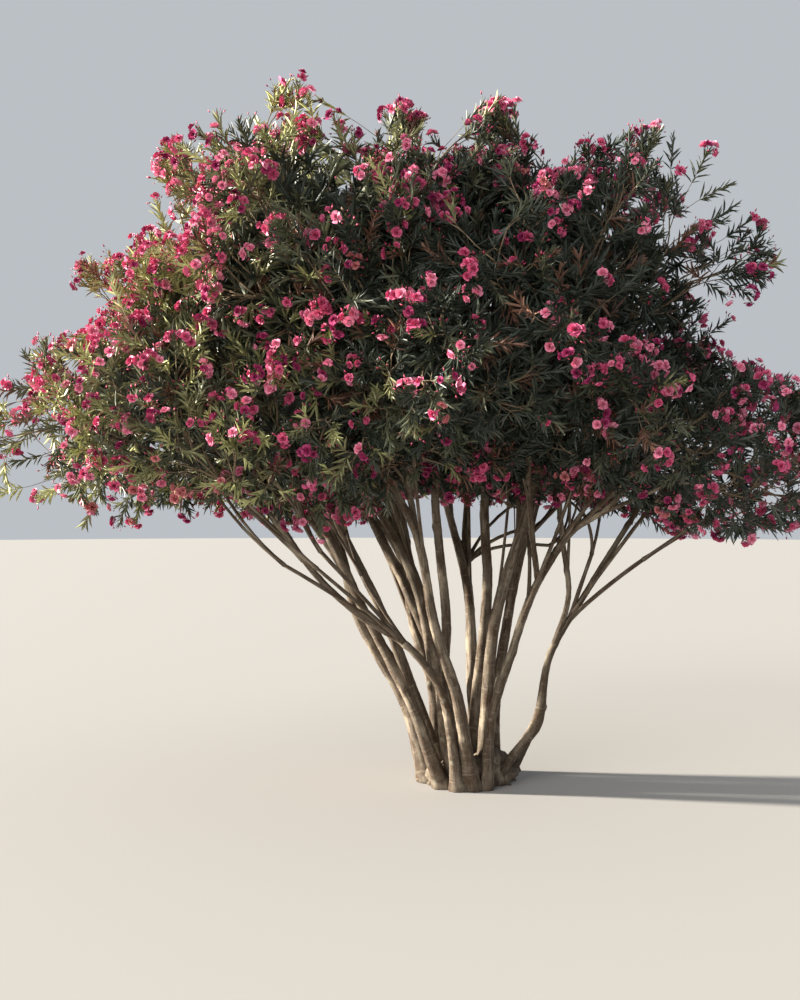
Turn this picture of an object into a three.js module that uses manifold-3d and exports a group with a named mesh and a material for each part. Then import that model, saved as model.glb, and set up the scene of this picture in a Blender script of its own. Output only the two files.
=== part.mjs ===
// A tall oleander grown as a many-stemmed tree. A fan of leaning stems rises from one root crown and
// carries a wide dome of foliage, set out as masses of twigs, leaves and blossom that each keep to
// their own space. Sizes are in millimetres: +Z is up, -Y is the front, +X is the right of the front
// view, and the origin is on the flat cut at ground level, in the middle of the root crown.
import * as THREE from "three";
import { mergeVertices } from "three/addons/utils/BufferGeometryUtils.js";
import Module from "manifold-3d";

const wasm = await Module();
wasm.setup();

const up = new THREE.Vector3(0, 0, 1);
const fitGap = 0.3; // between pieces that meet
const clearGap = 10; // between a twig or leaf and the limbs that it passes

// The crown: a point inside it and how far it reaches from there to the front and the back
const crown = {
  centre: new THREE.Vector3(-290, 0, 2330),
  frontReach: 1900,
  backReach: 1800,
  fullness: 2.3, // 2 would make its depth a plain ellipse
  lumps: { depth: 0.14, across: { waves: 5.2, shift: 0.7 }, upward: { waves: 6.1, shift: 2.1 } },
};
// Its outline from the front, [across, up], from the furthest twig on the right round over the top
const crownOutline = [
  [1960, 2000], [1620, 2180], [1440, 2350], [1540, 2520], [1590, 2720], [1480, 2920],
  [1230, 3130], [990, 3400], [690, 3470], [470, 3330], [310, 3500], [130, 3600],
  [-120, 3480], [-390, 3590], [-690, 3480], [-860, 3650], [-980, 3690], [-1230, 3570],
  [-1460, 3460], [-1690, 3330], [-1800, 3080], [-2060, 2720], [-2150, 2380], [-2480, 2190],
  [-2620, 1860], [-2500, 1560], [-2250, 1400], [-1900, 1370], [-1400, 1480], [-900, 1450],
  [-650, 1380], [-280, 1540], [450, 1570], [870, 1500], [1140, 1370], [1600, 1330], [1890, 1500],
];

// Foliage masses stand in rings round the crown, numbered from the right towards the back. A ring is
// turned and tilted from the crown's centre, and its boughs' tips lie lower by its drop, all in degrees.
const foliageRings = [
  { name: "low", count: 8, tilt: -17, drop: 4, turn: 0 },
  { name: "middle", count: 8, tilt: 16, drop: 11, turn: 22.5 },
  { name: "high", count: 6, tilt: 45, drop: 13, turn: 30 },
  { name: "top", count: 2, tilt: 74, drop: 13, turn: 0 },
];
// How the crown is stretched across, in depth, above and below, to space masses and shoots evenly over it
const spread = { across: 2300, depth: 1990, above: 1620, below: 1140 };
const openMasses = ["low_5", "middle_8", "high_1"]; // with no core, where sky shows through the crown
const mass = {
  hub: 0.7, // where its middle is, as a share of the crown's reach
  entry: 0.56, // where its bough's tip is
  wall: 7, // kept free on either side of the plane between two masses
  floor: 1400, // no shoot ends lower than this above the ground
  joint: 110, // the stretch of its own bough's tip that its twigs and leaves may come near
};
// A core lies between two shares of the crown's reach, off the walls of its mass's space and off the limbs
const core = {
  bottom: 0.56,
  top: 0.79,
  fromWall: 26,
  fromLimb: 15,
  least: 60,
  most: 800,
  step: 12,
  roughness: 0.2,
  detail: 1,
};

// Twigs fork towards the shoots, and each shoot has a whorl of leaves and may end in blossom. Leaves and
// blossom are larger than life: each stands for a spray of them.
const shoot = { count: 98, from: 0.85, to: 0.94 };
const twig = {
  start: 6, // radii where it grows from its parent, where it forks, and at its tip
  swollen: 13,
  tip: 9,
  sides: 3,
  inset: 14, // how deep the next twigs are sunk in its fork
  forkAt: 0.42, // of the way to the middle of its shoots
  carry: 0.35, // how far it keeps its parent's way
  stray: 0.1,
  tries: 8,
  uneven: 0.2,
};
const leaf = {
  whorl: 3,
  below: 110, // from the shoot's end down to the whorl
  length: 480,
  width: 122,
  thickness: 12,
  broadest: 0.42,
  from: 0.93, // where its tip is, as a share of the crown's reach
  to: 1.02,
  lean: { whorl: 0.85, end: 0.1 },
  turn: 0.1,
  unevenLength: 0.2,
  unevenWidth: 0.15,
};
const bloom = { share: 0.5, radius: 67, uneven: 0.2 };

// Stems: how far from the middle of the root crown those of each ring of masses stand, and how thick
const stemFoot = { low: 190, middle: 235, high: 140, top: 50 };
const stemTurn = { low: 0, middle: 26, high: -40, top: 90 }; // how far a foot is turned from below its mass
const stemGirth = { low: 62, middle: 74, high: 80, top: 88 };
const stem = {
  tip: 26,
  taper: 0.66,
  unevenGirth: 0.14,
  start: 125, // height of its joint with the root crown
  lean: 0.46, // how far it leans towards its mass where it leaves the ground
  leave: 760,
  arrive: 520,
  stray: 50,
};
const limbShape = { sides: 6, steps: 11, ownSteps: 14, links: 16, pace: 0.001, bends: 5, wander: 52 };
// Bends of the stems that stand out from the front: how far each is drawn aside below the crown
const stemBends = {
  middle_4: [-110, 0, 0],
  middle_5: [-130, -40, 0],
  high_4: [-190, 0, 0],
  high_1: [-60, 0, 0],
  high_6: [-90, 40, 0],
  high_5: [50, 50, 0],
  middle_3: [80, 90, 0],
};
// Three stems have a route of their own. The one that carries the low mass on the right runs out over the
// ground before it turns up at a burl, where a prop meets it. One crosses the others on the front left,
// and one sweeps out to the front right.
const ownRoutes = {
  low_1: [
    [120, -90, 0],
    [215, -115, 150],
    [350, -130, 335],
    [425, -130, 700],
    [630, -110, 1050],
    [880, -80, 1440],
    [1010, -60, 1640],
  ],
  low_6: [
    [-80, -252, 0],
    [-112, -276, 300],
    [-190, -310, 570],
    [-360, -370, 790],
    [-600, -440, 950],
    [-830, -540, 1180],
    [-1010, -650, 1480],
    [-1130, -730, 1850],
  ],
  low_8: [
    [70, -215, 0],
    [105, -235, 400],
    [205, -270, 730],
    [345, -270, 1110],
    [510, -400, 1380],
    [670, -560, 1500],
    [760, -680, 1640],
  ],
};
const burl = { stem: "low_1", point: 2, length: 0.07, swelling: 0.5 }; // its length as a share of the stem
const prop = { foot: [215, 25, 0], middle: [300, -40, 190], girth: 46 };
// Boughs that fork off a stem: the mass that each carries, its stem, and how far up that stem it starts
const forks = [
  { carries: "low_2", from: "high_1", at: 0.34 },
  { carries: "low_3", from: "middle_2", at: 0.46 },
  { carries: "low_4", from: "middle_3", at: 0.4 },
  { carries: "low_5", from: "high_4", at: 0.2 },
  { carries: "low_7", from: "middle_6", at: 0.5 },
  { carries: "middle_1", from: "high_1", at: 0.5 },
  { carries: "middle_7", from: "low_8", at: 0.5 },
  { carries: "middle_8", from: "low_1", at: 0.52 },
];
const bough = { share: 0.8, leave: 0.16, arrive: 0.3 };
const rootCrown = { radius: 290, height: 92, depth: 60, sides: 10, steps: 2, flare: 0.6 };
const seeds = { stems: 11, boughs: 3, shoots: 5, masses: 100 };

const materials = {
  bark: new THREE.MeshStandardMaterial({ color: 0x7d6c57, roughness: 0.9, metalness: 0 }),
  foliage: new THREE.MeshStandardMaterial({ color: 0x3f5a2b, roughness: 0.7, metalness: 0 }),
};

// The same seed gives the same plant every time
function seededRandom(seed) {
  let state = seed >>> 0;
  return () => {
    state = (Math.imul(state, 1664525) + 1013904223) >>> 0;
    return state / 4294967296;
  };
}

function uneven(value, share, random) {
  return value * (1 + share * (2 * random() - 1));
}

function solidFrom(geometry) {
  const bare = geometry.clone();
  bare.deleteAttribute("normal");
  bare.deleteAttribute("uv");
  const merged = mergeVertices(bare, 1e-3);
  return new wasm.Manifold(
    new wasm.Mesh({
      numProp: 3,
      vertProperties: new Float32Array(merged.attributes.position.array),
      triVerts: new Uint32Array(merged.index.array),
    }),
  );
}

// The largest closed body of a solid: loose scraps are dropped and sealed hollows are filled
function largestBody(solid) {
  return solid.decompose().reduce((best, body) => (body.volume() > best.volume() ? body : best));
}

function meshFrom(name, solid, material) {
  const { numProp, vertProperties, triVerts } = solid.getMesh();
  const geometry = new THREE.BufferGeometry();
  geometry.setAttribute("position", new THREE.BufferAttribute(vertProperties, numProp));
  geometry.setIndex(new THREE.BufferAttribute(triVerts, 1));
  geometry.computeVertexNormals();
  const mesh = new THREE.Mesh(geometry, material);
  mesh.name = name;
  return mesh;
}

// The crown's outline as its distance from the centre at an angle, seen from the front
const outlineReaches = crownOutline
  .map(([across, height]) => new THREE.Vector2(across - crown.centre.x, height - crown.centre.z))
  .map((point) => ({ angle: Math.atan2(point.y, point.x), reach: point.length() }))
  .sort((a, b) => a.angle - b.angle);

function outlineReach(angle) {
  const turn = 2 * Math.PI;
  const next = Math.max(0, outlineReaches.findIndex((point) => point.angle > angle));
  const before = outlineReaches.at(next - 1);
  const after = outlineReaches[next];
  const share = ((angle - before.angle + turn) % turn) / ((after.angle - before.angle + turn) % turn);
  return THREE.MathUtils.lerp(before.reach, after.reach, share);
}

// How far the crown reaches from its centre in a direction
function crownReach(way) {
  const depth = way.y < 0 ? crown.frontReach : crown.backReach;
  const across = Math.hypot(way.x, way.z) / outlineReach(Math.atan2(way.z, way.x));
  const away = Math.abs(way.y) / depth;
  const plain = (across ** crown.fullness + away ** crown.fullness) ** (-1 / crown.fullness);
  const { depth: lumpDepth, across: sideways, upward } = crown.lumps;
  const columns = Math.sin(sideways.waves * way.x + sideways.shift);
  const rows = Math.sin(upward.waves * way.z + upward.shift);
  return plain * (1 + lumpDepth * Math.abs(way.y) * columns * rows);
}

function crownPoint(way, share) {
  return way.clone().multiplyScalar(crownReach(way) * share).add(crown.centre);
}

// The share of the crown's reach at which a point lies
function crownShare(point) {
  const offset = point.clone().sub(crown.centre);
  const distance = offset.length();
  return distance / crownReach(offset.divideScalar(distance));
}

// A direction from the crown's centre, turned and tilted by degrees on the wide crown
function crownWay(turn, tilt) {
  const angle = THREE.MathUtils.degToRad(turn);
  const rise = THREE.MathUtils.degToRad(tilt);
  const flat = new THREE.Vector3(Math.cos(angle) * spread.across, Math.sin(angle) * spread.depth, 0);
  return flat.normalize().multiplyScalar(Math.cos(rise)).addScaledVector(up, Math.sin(rise));
}

function makeMasses() {
  return foliageRings.flatMap((ring) =>
    Array.from({ length: ring.count }, (_, index) => {
      const turn = ring.turn + (360 * index) / ring.count;
      const way = crownWay(turn, ring.tilt);
      const name = `${ring.name}_${index + 1}`;
      const entry = crownPoint(crownWay(turn, ring.tilt - ring.drop), mass.entry);
      if (name in ownRoutes) entry.set(...ownRoutes[name].at(-1));
      return { name, ring: ring.name, way, hub: crownPoint(way, mass.hub), entry };
    }),
  );
}

const masses = makeMasses();

// How far inside a mass's own space a point lies: its distance to the nearest plane between two hubs
function roomInside(own, point) {
  const rooms = masses
    .filter((other) => other !== own)
    .map((other) => {
      const apart = other.hub.clone().sub(own.hub);
      const middle = own.hub.clone().lerp(other.hub, 0.5);
      return middle.sub(point).dot(apart) / apart.length() - mass.wall;
    });
  return Math.min(...rooms);
}

// A tube along part of a route, closed at both ends
function tube(route, radiusAt, from, to, sides, steps) {
  const geometry = new THREE.CylinderGeometry(1, 1, 1, sides, steps);
  const position = geometry.attributes.position;
  const rings = Array.from({ length: steps + 1 }, (_, step) => {
    const share = THREE.MathUtils.lerp(from, to, step / steps);
    const along = route.getTangent(share);
    const across = new THREE.Vector3(0, 1, 0).cross(along).normalize();
    const side = along.cross(across);
    return { radius: radiusAt(share), centre: route.getPoint(share), across, side };
  });
  for (let i = 0; i < position.count; i++) {
    const ring = rings[Math.round((position.getY(i) + 0.5) * steps)];
    const placed = ring.centre.clone().addScaledVector(ring.across, position.getZ(i) * ring.radius);
    placed.addScaledVector(ring.side, position.getX(i) * ring.radius);
    position.setXYZ(i, placed.x, placed.y, placed.z);
  }
  return solidFrom(geometry);
}

// A limb strays from an even curve between its ends
function wandering(even, random) {
  const points = even.getPoints(limbShape.bends + 1);
  for (const point of points.slice(1, -1)) {
    const stray = new THREE.Vector3(2 * random() - 1, 2 * random() - 1, 0);
    point.addScaledVector(stray, limbShape.wander);
  }
  return new THREE.CatmullRomCurve3(points);
}

function stemRoute(one, random) {
  const foot = one.way.clone().setZ(0).normalize().multiplyScalar(stemFoot[one.ring]);
  foot.applyAxisAngle(up, THREE.MathUtils.degToRad(stemTurn[one.ring]));
  const leave = one.entry.clone().sub(foot).setZ(0).multiplyScalar(stem.lean / one.entry.z).add(up);
  const arrive = one.hub.clone().sub(one.entry).normalize();
  const stray = new THREE.Vector3(random() - 0.5, random() - 0.5, 0).multiplyScalar(2 * stem.stray);
  const bend = new THREE.Vector3(...(stemBends[one.name] ?? [0, 0, 0]));
  const even = new THREE.CubicBezierCurve3(
    foot,
    foot.clone().addScaledVector(leave, stem.leave).add(stray).add(bend),
    one.entry.clone().addScaledVector(arrive, -stem.arrive),
    one.entry.clone(),
  );
  return wandering(even, random);
}

function routeThrough(points) {
  return new THREE.CatmullRomCurve3(points.map((point) => new THREE.Vector3(...point)));
}

// A limb is a route that thins from its start to its tip
function makeLimb(name, route, girth, start) {
  const radiusAt = (share) => THREE.MathUtils.lerp(girth, stem.tip, share ** stem.taper) / 2;
  const steps = name in ownRoutes ? limbShape.ownSteps : limbShape.steps;
  return { name, route, radiusAt, start, steps };
}

// The share of a stem's route at which it leaves its stub on the root crown
function startOf(route) {
  let start = 0;
  while (route.getPoint(start).z < stem.start) start += limbShape.pace;
  return start;
}

function makeStems() {
  const random = seededRandom(seeds.stems);
  const carriedByForks = forks.map((fork) => fork.carries);
  const stems = masses
    .filter((one) => !carriedByForks.includes(one.name))
    .map((one) => {
      const route = one.name in ownRoutes ? routeThrough(ownRoutes[one.name]) : stemRoute(one, random);
      const girth = uneven(stemGirth[one.ring], stem.unevenGirth, random);
      return makeLimb(one.name, route, girth, startOf(route));
    });
  const burled = stems.find((limb) => limb.name === burl.stem);
  const plainRadius = burled.radiusAt;
  const burlAt = burl.point / (ownRoutes[burl.stem].length - 1);
  const swelling = (share) => burl.swelling * Math.exp(-(((share - burlAt) / burl.length) ** 2));
  burled.radiusAt = (share) => plainRadius(share) * (1 + swelling(share));
  const propRoute = routeThrough([prop.foot, prop.middle, ownRoutes[burl.stem][burl.point]]);
  return [...stems, { ...makeLimb("prop", propRoute, prop.girth, startOf(propRoute)), from: burled }];
}

// Boughs fork off a stem
function makeBoughs(stems) {
  const random = seededRandom(seeds.boughs);
  return forks.map((fork) => {
    const one = masses.find((candidate) => candidate.name === fork.carries);
    const from = stems.find((limb) => limb.name === fork.from);
    const start = from.route.getPoint(fork.at);
    const way = one.entry.clone().sub(start);
    const leave = from.route.getTangent(fork.at).add(way.clone().normalize());
    const arrive = one.hub.clone().sub(one.entry).normalize();
    const even = new THREE.CubicBezierCurve3(
      start,
      start.clone().addScaledVector(leave, bough.leave * way.length()),
      one.entry.clone().addScaledVector(arrive, -bough.arrive * way.length()),
      one.entry.clone(),
    );
    const girth = 2 * from.radiusAt(fork.at) * bough.share;
    return { ...makeLimb(one.name, wandering(even, random), girth, 0), from };
  });
}

function limbTube(limb, growth = 0) {
  const radiusAt = (share) => limb.radiusAt(share) + growth;
  return tube(limb.route, radiusAt, limb.start, 1, limbShape.sides, limb.steps);
}

// A limb that meets another is cut clear of it
function limbSolid(limb) {
  const solid = limbTube(limb);
  return limb.from ? largestBody(solid.subtract(limbTube(limb.from, 2 * fitGap))) : solid;
}

// The root crown: a low dome with the flared stub of every stem, cut flat at ground level
function rootCrownSolid(stems) {
  const { radius, height, depth } = rootCrown;
  const profile = [new THREE.Vector2(0, -depth), new THREE.Vector2(radius, -depth)];
  for (let step = 0; step <= rootCrown.steps; step++) {
    const angle = (Math.PI / 2) * (step / rootCrown.steps);
    profile.push(new THREE.Vector2(radius * Math.cos(angle), height * Math.sin(angle)));
  }
  const dome = solidFrom(new THREE.LatheGeometry(profile, rootCrown.sides).rotateX(Math.PI / 2));
  const stubs = stems.map((limb) => {
    const below = limb.start - limbShape.pace;
    const paceLength = limb.route.getPoint(limb.start).distanceTo(limb.route.getPoint(below));
    const end = limb.start - (fitGap * limbShape.pace) / paceLength;
    const radiusAt = (share) => limb.radiusAt(share) * (1 + rootCrown.flare * (1 - share / end));
    return tube(limb.route, radiusAt, 0, end, limbShape.sides, 1);
  });
  const underground = new THREE.BoxGeometry(4 * radius, 4 * radius, 2 * depth).translate(0, 0, -depth);
  return largestBody(wasm.Manifold.union([dome, ...stubs]).subtract(solidFrom(underground)));
}

// A limb as a chain of short straight pieces, to keep twigs and leaves clear of it
function limbChain(limb, spareTip) {
  const end = 1 - spareTip / limb.route.getLength();
  return Array.from({ length: limbShape.links + 1 }, (_, step) => {
    const share = (end * step) / limbShape.links;
    return { at: limb.route.getPoint(share), radius: limb.radiusAt(share) };
  });
}

// The least distance between two straight pieces, from a to b and from c to d
function gapBetween(a, b, c, d) {
  const first = b.clone().sub(a);
  const second = d.clone().sub(c);
  const offset = a.clone().sub(c);
  const across = first.dot(second);
  const slope = first.lengthSq() * second.lengthSq() - across * across;
  const clamp = (value) => THREE.MathUtils.clamp(value, 0, 1);
  const nearest = across * second.dot(offset) - second.lengthSq() * first.dot(offset);
  const start = slope > 1e-6 ? clamp(nearest / slope) : 0;
  const onSecond = clamp((across * start + second.dot(offset)) / second.lengthSq());
  const onFirst = clamp((across * onSecond - first.dot(offset)) / first.lengthSq());
  return a.clone().addScaledVector(first, onFirst).distanceTo(c.clone().addScaledVector(second, onSecond));
}

function clearOfLimbs(chains, from, to, halfWidth) {
  return chains.every((chain) =>
    chain.slice(1).every((link, index) => {
      const gap = gapBetween(from, to, chain[index].at, link.at);
      return gap > Math.max(link.radius, chain[index].radius) + halfWidth + clearGap;
    }),
  );
}

function turnTo(way) {
  return new THREE.Quaternion().setFromUnitVectors(new THREE.Vector3(0, 1, 0), way);
}

// A straight twig, swollen where it forks so that the twigs which grow from it are sunk in it
function twigSolid(from, to, startRadius, endRadius, sides) {
  const way = to.clone().sub(from);
  const geometry = new THREE.CylinderGeometry(endRadius, startRadius, way.length(), sides, 1);
  geometry.translate(0, way.length() / 2, 0).applyQuaternion(turnTo(way.normalize()));
  return solidFrom(geometry.translate(from.x, from.y, from.z));
}

// A leaf of eight faces with its broad face turned to the given way
function leafSolid(root, tip, facing, width) {
  const along = tip.clone().sub(root);
  const across = facing.clone().cross(along).normalize();
  const outward = across.clone().cross(along).normalize();
  const shape = new THREE.Matrix4().makeBasis(
    across.multiplyScalar(width / 2),
    along,
    outward.multiplyScalar(leaf.thickness / 2),
  );
  const geometry = new THREE.OctahedronGeometry(1);
  const position = geometry.attributes.position;
  for (let i = 0; i < position.count; i++) {
    const height = position.getY(i);
    position.setY(i, height > 0.5 ? 1 : height < -0.5 ? 0 : leaf.broadest);
  }
  return solidFrom(geometry.applyMatrix4(shape).translate(root.x, root.y, root.z));
}

// The room that a core leaves round a limb and past its tip
function limbRoom(limb) {
  const way = limb.route.getTangent(1);
  const tip = limb.route.getPoint(1);
  const radius = limb.radiusAt(1) + core.fromLimb;
  const before = tip.clone().addScaledVector(way, -core.fromLimb);
  const past = tip.addScaledVector(way, fitGap);
  return limbTube(limb, core.fromLimb).add(twigSolid(before, past, radius, radius, limbShape.sides));
}

// The dark heart of a dense mass fills the middle of its space, and twigs and leaves stand out of it
function coreSolid(one, limbs, chains, random) {
  const geometry = new THREE.IcosahedronGeometry(1, core.detail);
  const reaches = new Map();
  const reachOf = (way) => {
    const key = way.toArray().map((value) => value.toFixed(3)).join();
    if (!reaches.has(key)) {
      let reach = core.least;
      let point = one.hub;
      do {
        reach += core.step;
        point = one.hub.clone().addScaledVector(way, reach);
      } while (
        reach < core.most &&
        roomInside(one, point) > core.fromWall &&
        crownShare(point) > core.bottom &&
        crownShare(point) < core.top &&
        clearOfLimbs(chains, one.hub, point, core.fromWall / 2)
      );
      reaches.set(key, (reach - core.step) * (1 - core.roughness * random()));
    }
    return reaches.get(key);
  };
  const position = geometry.attributes.position;
  for (let i = 0; i < position.count; i++) {
    const way = new THREE.Vector3().fromBufferAttribute(position, i).normalize();
    const placed = one.hub.clone().addScaledVector(way, reachOf(way));
    position.setXYZ(i, placed.x, placed.y, placed.z);
  }
  return solidFrom(geometry).subtract(wasm.Manifold.union(limbs.map(limbRoom)));
}

// Directions spread evenly over the whole crown
function evenWays() {
  return Array.from({ length: shoot.count }, (_, index) => {
    const height = 1 - (2 * index + 1) / shoot.count;
    const round = index * Math.PI * (3 - Math.sqrt(5));
    const flat = Math.sqrt(1 - height * height);
    const across = Math.cos(round) * flat * spread.across;
    const rise = height * (height > 0 ? spread.above : spread.below);
    return new THREE.Vector3(across, Math.sin(round) * flat * spread.depth, rise).normalize();
  });
}

// Directions of the outline's peaks, where it reaches further than on either side
function peakWays() {
  const isPeak = ({ reach }, index) => {
    const next = outlineReaches[(index + 1) % outlineReaches.length];
    return reach > outlineReaches.at(index - 1).reach && reach > next.reach;
  };
  const peaks = outlineReaches.filter(isPeak);
  return peaks.map(({ angle }) => new THREE.Vector3(Math.cos(angle), 0, Math.sin(angle)));
}

// Each shoot belongs to the mass in whose space it ends
function makeShoots() {
  const random = seededRandom(seeds.shoots);
  const shootTo = (way, share) => {
    const end = crownPoint(way, share);
    const owner = masses.reduce((best, one) => (roomInside(one, end) > roomInside(best, end) ? one : best));
    return { end, owner };
  };
  const even = evenWays().map((way) => shootTo(way, THREE.MathUtils.lerp(shoot.from, shoot.to, random())));
  const peaks = peakWays().map((way) => shootTo(way, shoot.to));
  return [...even, ...peaks].filter((one) => one.end.z > mass.floor);
}

// A shoot ends in blossom or one more leaf, over a whorl of leaves with their tips at the crown's surface
function shootSolids(end, along, fits, random) {
  const solids = [];
  const blooms = random() < bloom.share;
  const whorl = end.clone().addScaledVector(along, -leaf.below);
  const flatTurn = Math.PI / twig.sides;
  const flatOfTwig = new THREE.Vector3(Math.sin(flatTurn), 0, Math.cos(flatTurn));
  const around = flatOfTwig.applyQuaternion(turnTo(along));
  const addLeaf = (root, side, lean) => {
    const length = uneven(leaf.length, leaf.unevenLength, random);
    const aim = root.clone().addScaledVector(side, lean * length).sub(crown.centre).normalize();
    const way = crownPoint(aim, THREE.MathUtils.lerp(leaf.from, leaf.to, random())).sub(root);
    const tip = root.clone().add(way.clampLength(0, length));
    const width = uneven(leaf.width, leaf.unevenWidth, random);
    if (fits(root, tip, width / 2)) solids.push(leafSolid(root, tip, along, width));
  };
  for (let index = 0; index < leaf.whorl; index++) {
    const turn = (2 * Math.PI * (index + leaf.turn * (2 * random() - 1))) / leaf.whorl;
    addLeaf(whorl, around.clone().applyAxisAngle(along, turn), leaf.lean.whorl);
  }
  const radius = uneven(bloom.radius, bloom.uneven, random);
  if (!blooms) addLeaf(end.clone().addScaledVector(along, -2 * twig.tip), around, leaf.lean.end);
  if (blooms && fits(whorl, end, radius)) {
    solids.push(solidFrom(new THREE.IcosahedronGeometry(radius).translate(end.x, end.y, end.z)));
  }
  return solids;
}

// Shares shoots between two twigs, across the way in which they are spread the most
function splitShoots(shoots, middle, random) {
  const furthestFrom = (point) =>
    shoots.reduce((best, one) => (one.end.distanceTo(point) > best.end.distanceTo(point) ? one : best)).end;
  const first = furthestFrom(middle);
  const widest = furthestFrom(first).clone().sub(first);
  const sorted = [...shoots].sort((a, b) => a.end.dot(widest) - b.end.dot(widest));
  const half = Math.round(uneven(sorted.length / 2, twig.uneven, random));
  const cut = THREE.MathUtils.clamp(half, 1, sorted.length - 1);
  return [sorted.slice(0, cut), sorted.slice(cut)];
}

// A twig runs part of the way to the middle of the shoots that it feeds and forks there, until each twig
// has one shoot. What would leave the mass's own space or touch a limb isn't grown.
function growTwigs(base, way, shoots, fits, random, first = false) {
  const single = shoots.length === 1;
  const sum = shoots.reduce((total, next) => total.add(next.end), new THREE.Vector3());
  const middle = sum.divideScalar(shoots.length);
  const distance = middle.distanceTo(base);
  const bent = middle.clone().sub(base).normalize().lerp(way, twig.carry);
  const straight = base.clone().addScaledVector(first ? way : bent, distance * twig.forkAt);
  let end = single ? middle : straight;
  for (let tries = 1; !first && !single && tries <= twig.tries; tries++) {
    const stray = new THREE.Vector3(random() - 0.5, random() - 0.5, random() - 0.5);
    end = straight.clone().addScaledVector(stray, distance * twig.stray * tries);
    if (fits(base, end, twig.swollen)) break;
  }
  if (!fits(base, end, twig.swollen)) return [];
  const along = end.clone().sub(base).normalize();
  const startRadius = first ? stem.tip / 2 : twig.start;
  const endRadius = single ? twig.tip : twig.swollen;
  const solid = twigSolid(base, end, startRadius, endRadius, first ? limbShape.sides : twig.sides);
  if (single) return [solid, ...shootSolids(end, along, fits, random)];
  const fork = end.addScaledVector(along, -twig.inset);
  const halves = splitShoots(shoots, middle, random);
  return [solid, ...halves.flatMap((half) => growTwigs(fork, along, half, fits, random))];
}

function massSolid(one, shoots, limbs, random) {
  const own = limbs.find((limb) => limb.name === one.name);
  const chains = limbs.map((limb) => limbChain(limb, limb === own ? mass.joint : 0));
  const fits = (from, to, halfWidth) => {
    const broadest = from.clone().lerp(to, leaf.broadest);
    return (
      roomInside(one, from) > 0 &&
      roomInside(one, to) > 0 &&
      roomInside(one, broadest) > halfWidth &&
      clearOfLimbs(chains, from, to, halfWidth)
    );
  };
  const way = own.route.getTangent(1);
  const base = own.route.getPoint(1).addScaledVector(way, fitGap);
  const grown = growTwigs(base, way, shoots, fits, random, true);
  const solids = openMasses.includes(one.name) ? grown : [...grown, coreSolid(one, limbs, chains, random)];
  return largestBody(wasm.Manifold.union(solids));
}

function makePlant() {
  const plant = new THREE.Group();
  const stems = makeStems();
  const boughs = makeBoughs(stems);
  const shoots = makeShoots();
  plant.add(meshFrom("root_crown", rootCrownSolid(stems), materials.bark));
  stems.forEach((limb) => plant.add(meshFrom(`stem_${limb.name}`, limbSolid(limb), materials.bark)));
  boughs.forEach((limb) => plant.add(meshFrom(`bough_${limb.name}`, limbSolid(limb), materials.bark)));
  masses.forEach((one, index) => {
    const own = shoots.filter((candidate) => candidate.owner === one);
    const solid = massSolid(one, own, [...stems, ...boughs], seededRandom(seeds.masses + index));
    plant.add(meshFrom(`foliage_${one.name}`, solid, materials.foliage));
  });
  return plant;
}

export default makePlant();
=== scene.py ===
import math

import bmesh
import bpy
import numpy as np
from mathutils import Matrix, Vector


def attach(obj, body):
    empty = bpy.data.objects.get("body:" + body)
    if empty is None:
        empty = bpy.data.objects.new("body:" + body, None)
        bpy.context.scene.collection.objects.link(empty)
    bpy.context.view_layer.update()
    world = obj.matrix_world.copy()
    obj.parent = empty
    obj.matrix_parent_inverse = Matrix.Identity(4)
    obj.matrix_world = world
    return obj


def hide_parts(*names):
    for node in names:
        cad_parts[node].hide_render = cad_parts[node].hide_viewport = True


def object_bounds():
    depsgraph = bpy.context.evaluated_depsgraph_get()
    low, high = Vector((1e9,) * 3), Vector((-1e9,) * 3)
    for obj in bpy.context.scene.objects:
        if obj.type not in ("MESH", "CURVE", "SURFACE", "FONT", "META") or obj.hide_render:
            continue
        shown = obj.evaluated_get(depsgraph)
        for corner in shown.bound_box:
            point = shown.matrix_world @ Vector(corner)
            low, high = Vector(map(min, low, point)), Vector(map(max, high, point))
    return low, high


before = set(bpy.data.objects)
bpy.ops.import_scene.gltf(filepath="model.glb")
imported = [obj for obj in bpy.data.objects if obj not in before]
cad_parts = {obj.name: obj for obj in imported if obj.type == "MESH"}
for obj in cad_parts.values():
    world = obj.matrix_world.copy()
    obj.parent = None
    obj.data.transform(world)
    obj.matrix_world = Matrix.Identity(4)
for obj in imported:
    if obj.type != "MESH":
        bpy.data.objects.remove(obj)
cadLow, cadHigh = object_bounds()
up = np.array([0.0, 0.0, 1.0])
viewPoint = np.array([-0.385, -7.0, 1.54])  # of the front view

# The crown's own shape

crown = {
    "centre": (-0.29, 0, 2.33),
    "frontReach": 1.9,
    "backReach": 1.8,
    "fullness": 2.3,
    "lumps": 0.14,
    "columns": (5.2, 0.7),
    "rows": (6.1, 2.1),
    # across and up, from the furthest twig on the right round over the top
    "outline": [
        (1.96, 2.0), (1.62, 2.18), (1.44, 2.35), (1.54, 2.52), (1.59, 2.72), (1.48, 2.92),
        (1.23, 3.13), (0.99, 3.4), (0.69, 3.47), (0.47, 3.33), (0.31, 3.5), (0.13, 3.6),
        (-0.12, 3.48), (-0.39, 3.59), (-0.69, 3.48), (-0.86, 3.65), (-0.98, 3.69), (-1.23, 3.57),
        (-1.46, 3.46), (-1.69, 3.33), (-1.8, 3.08), (-2.06, 2.72), (-2.15, 2.38), (-2.48, 2.19),
        (-2.62, 1.86), (-2.5, 1.56), (-2.25, 1.4), (-1.9, 1.37), (-1.4, 1.48), (-0.9, 1.45),
        (-0.65, 1.38), (-0.28, 1.54), (0.45, 1.57), (0.87, 1.5), (1.14, 1.37), (1.6, 1.33), (1.89, 1.5),
    ],
}
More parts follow.
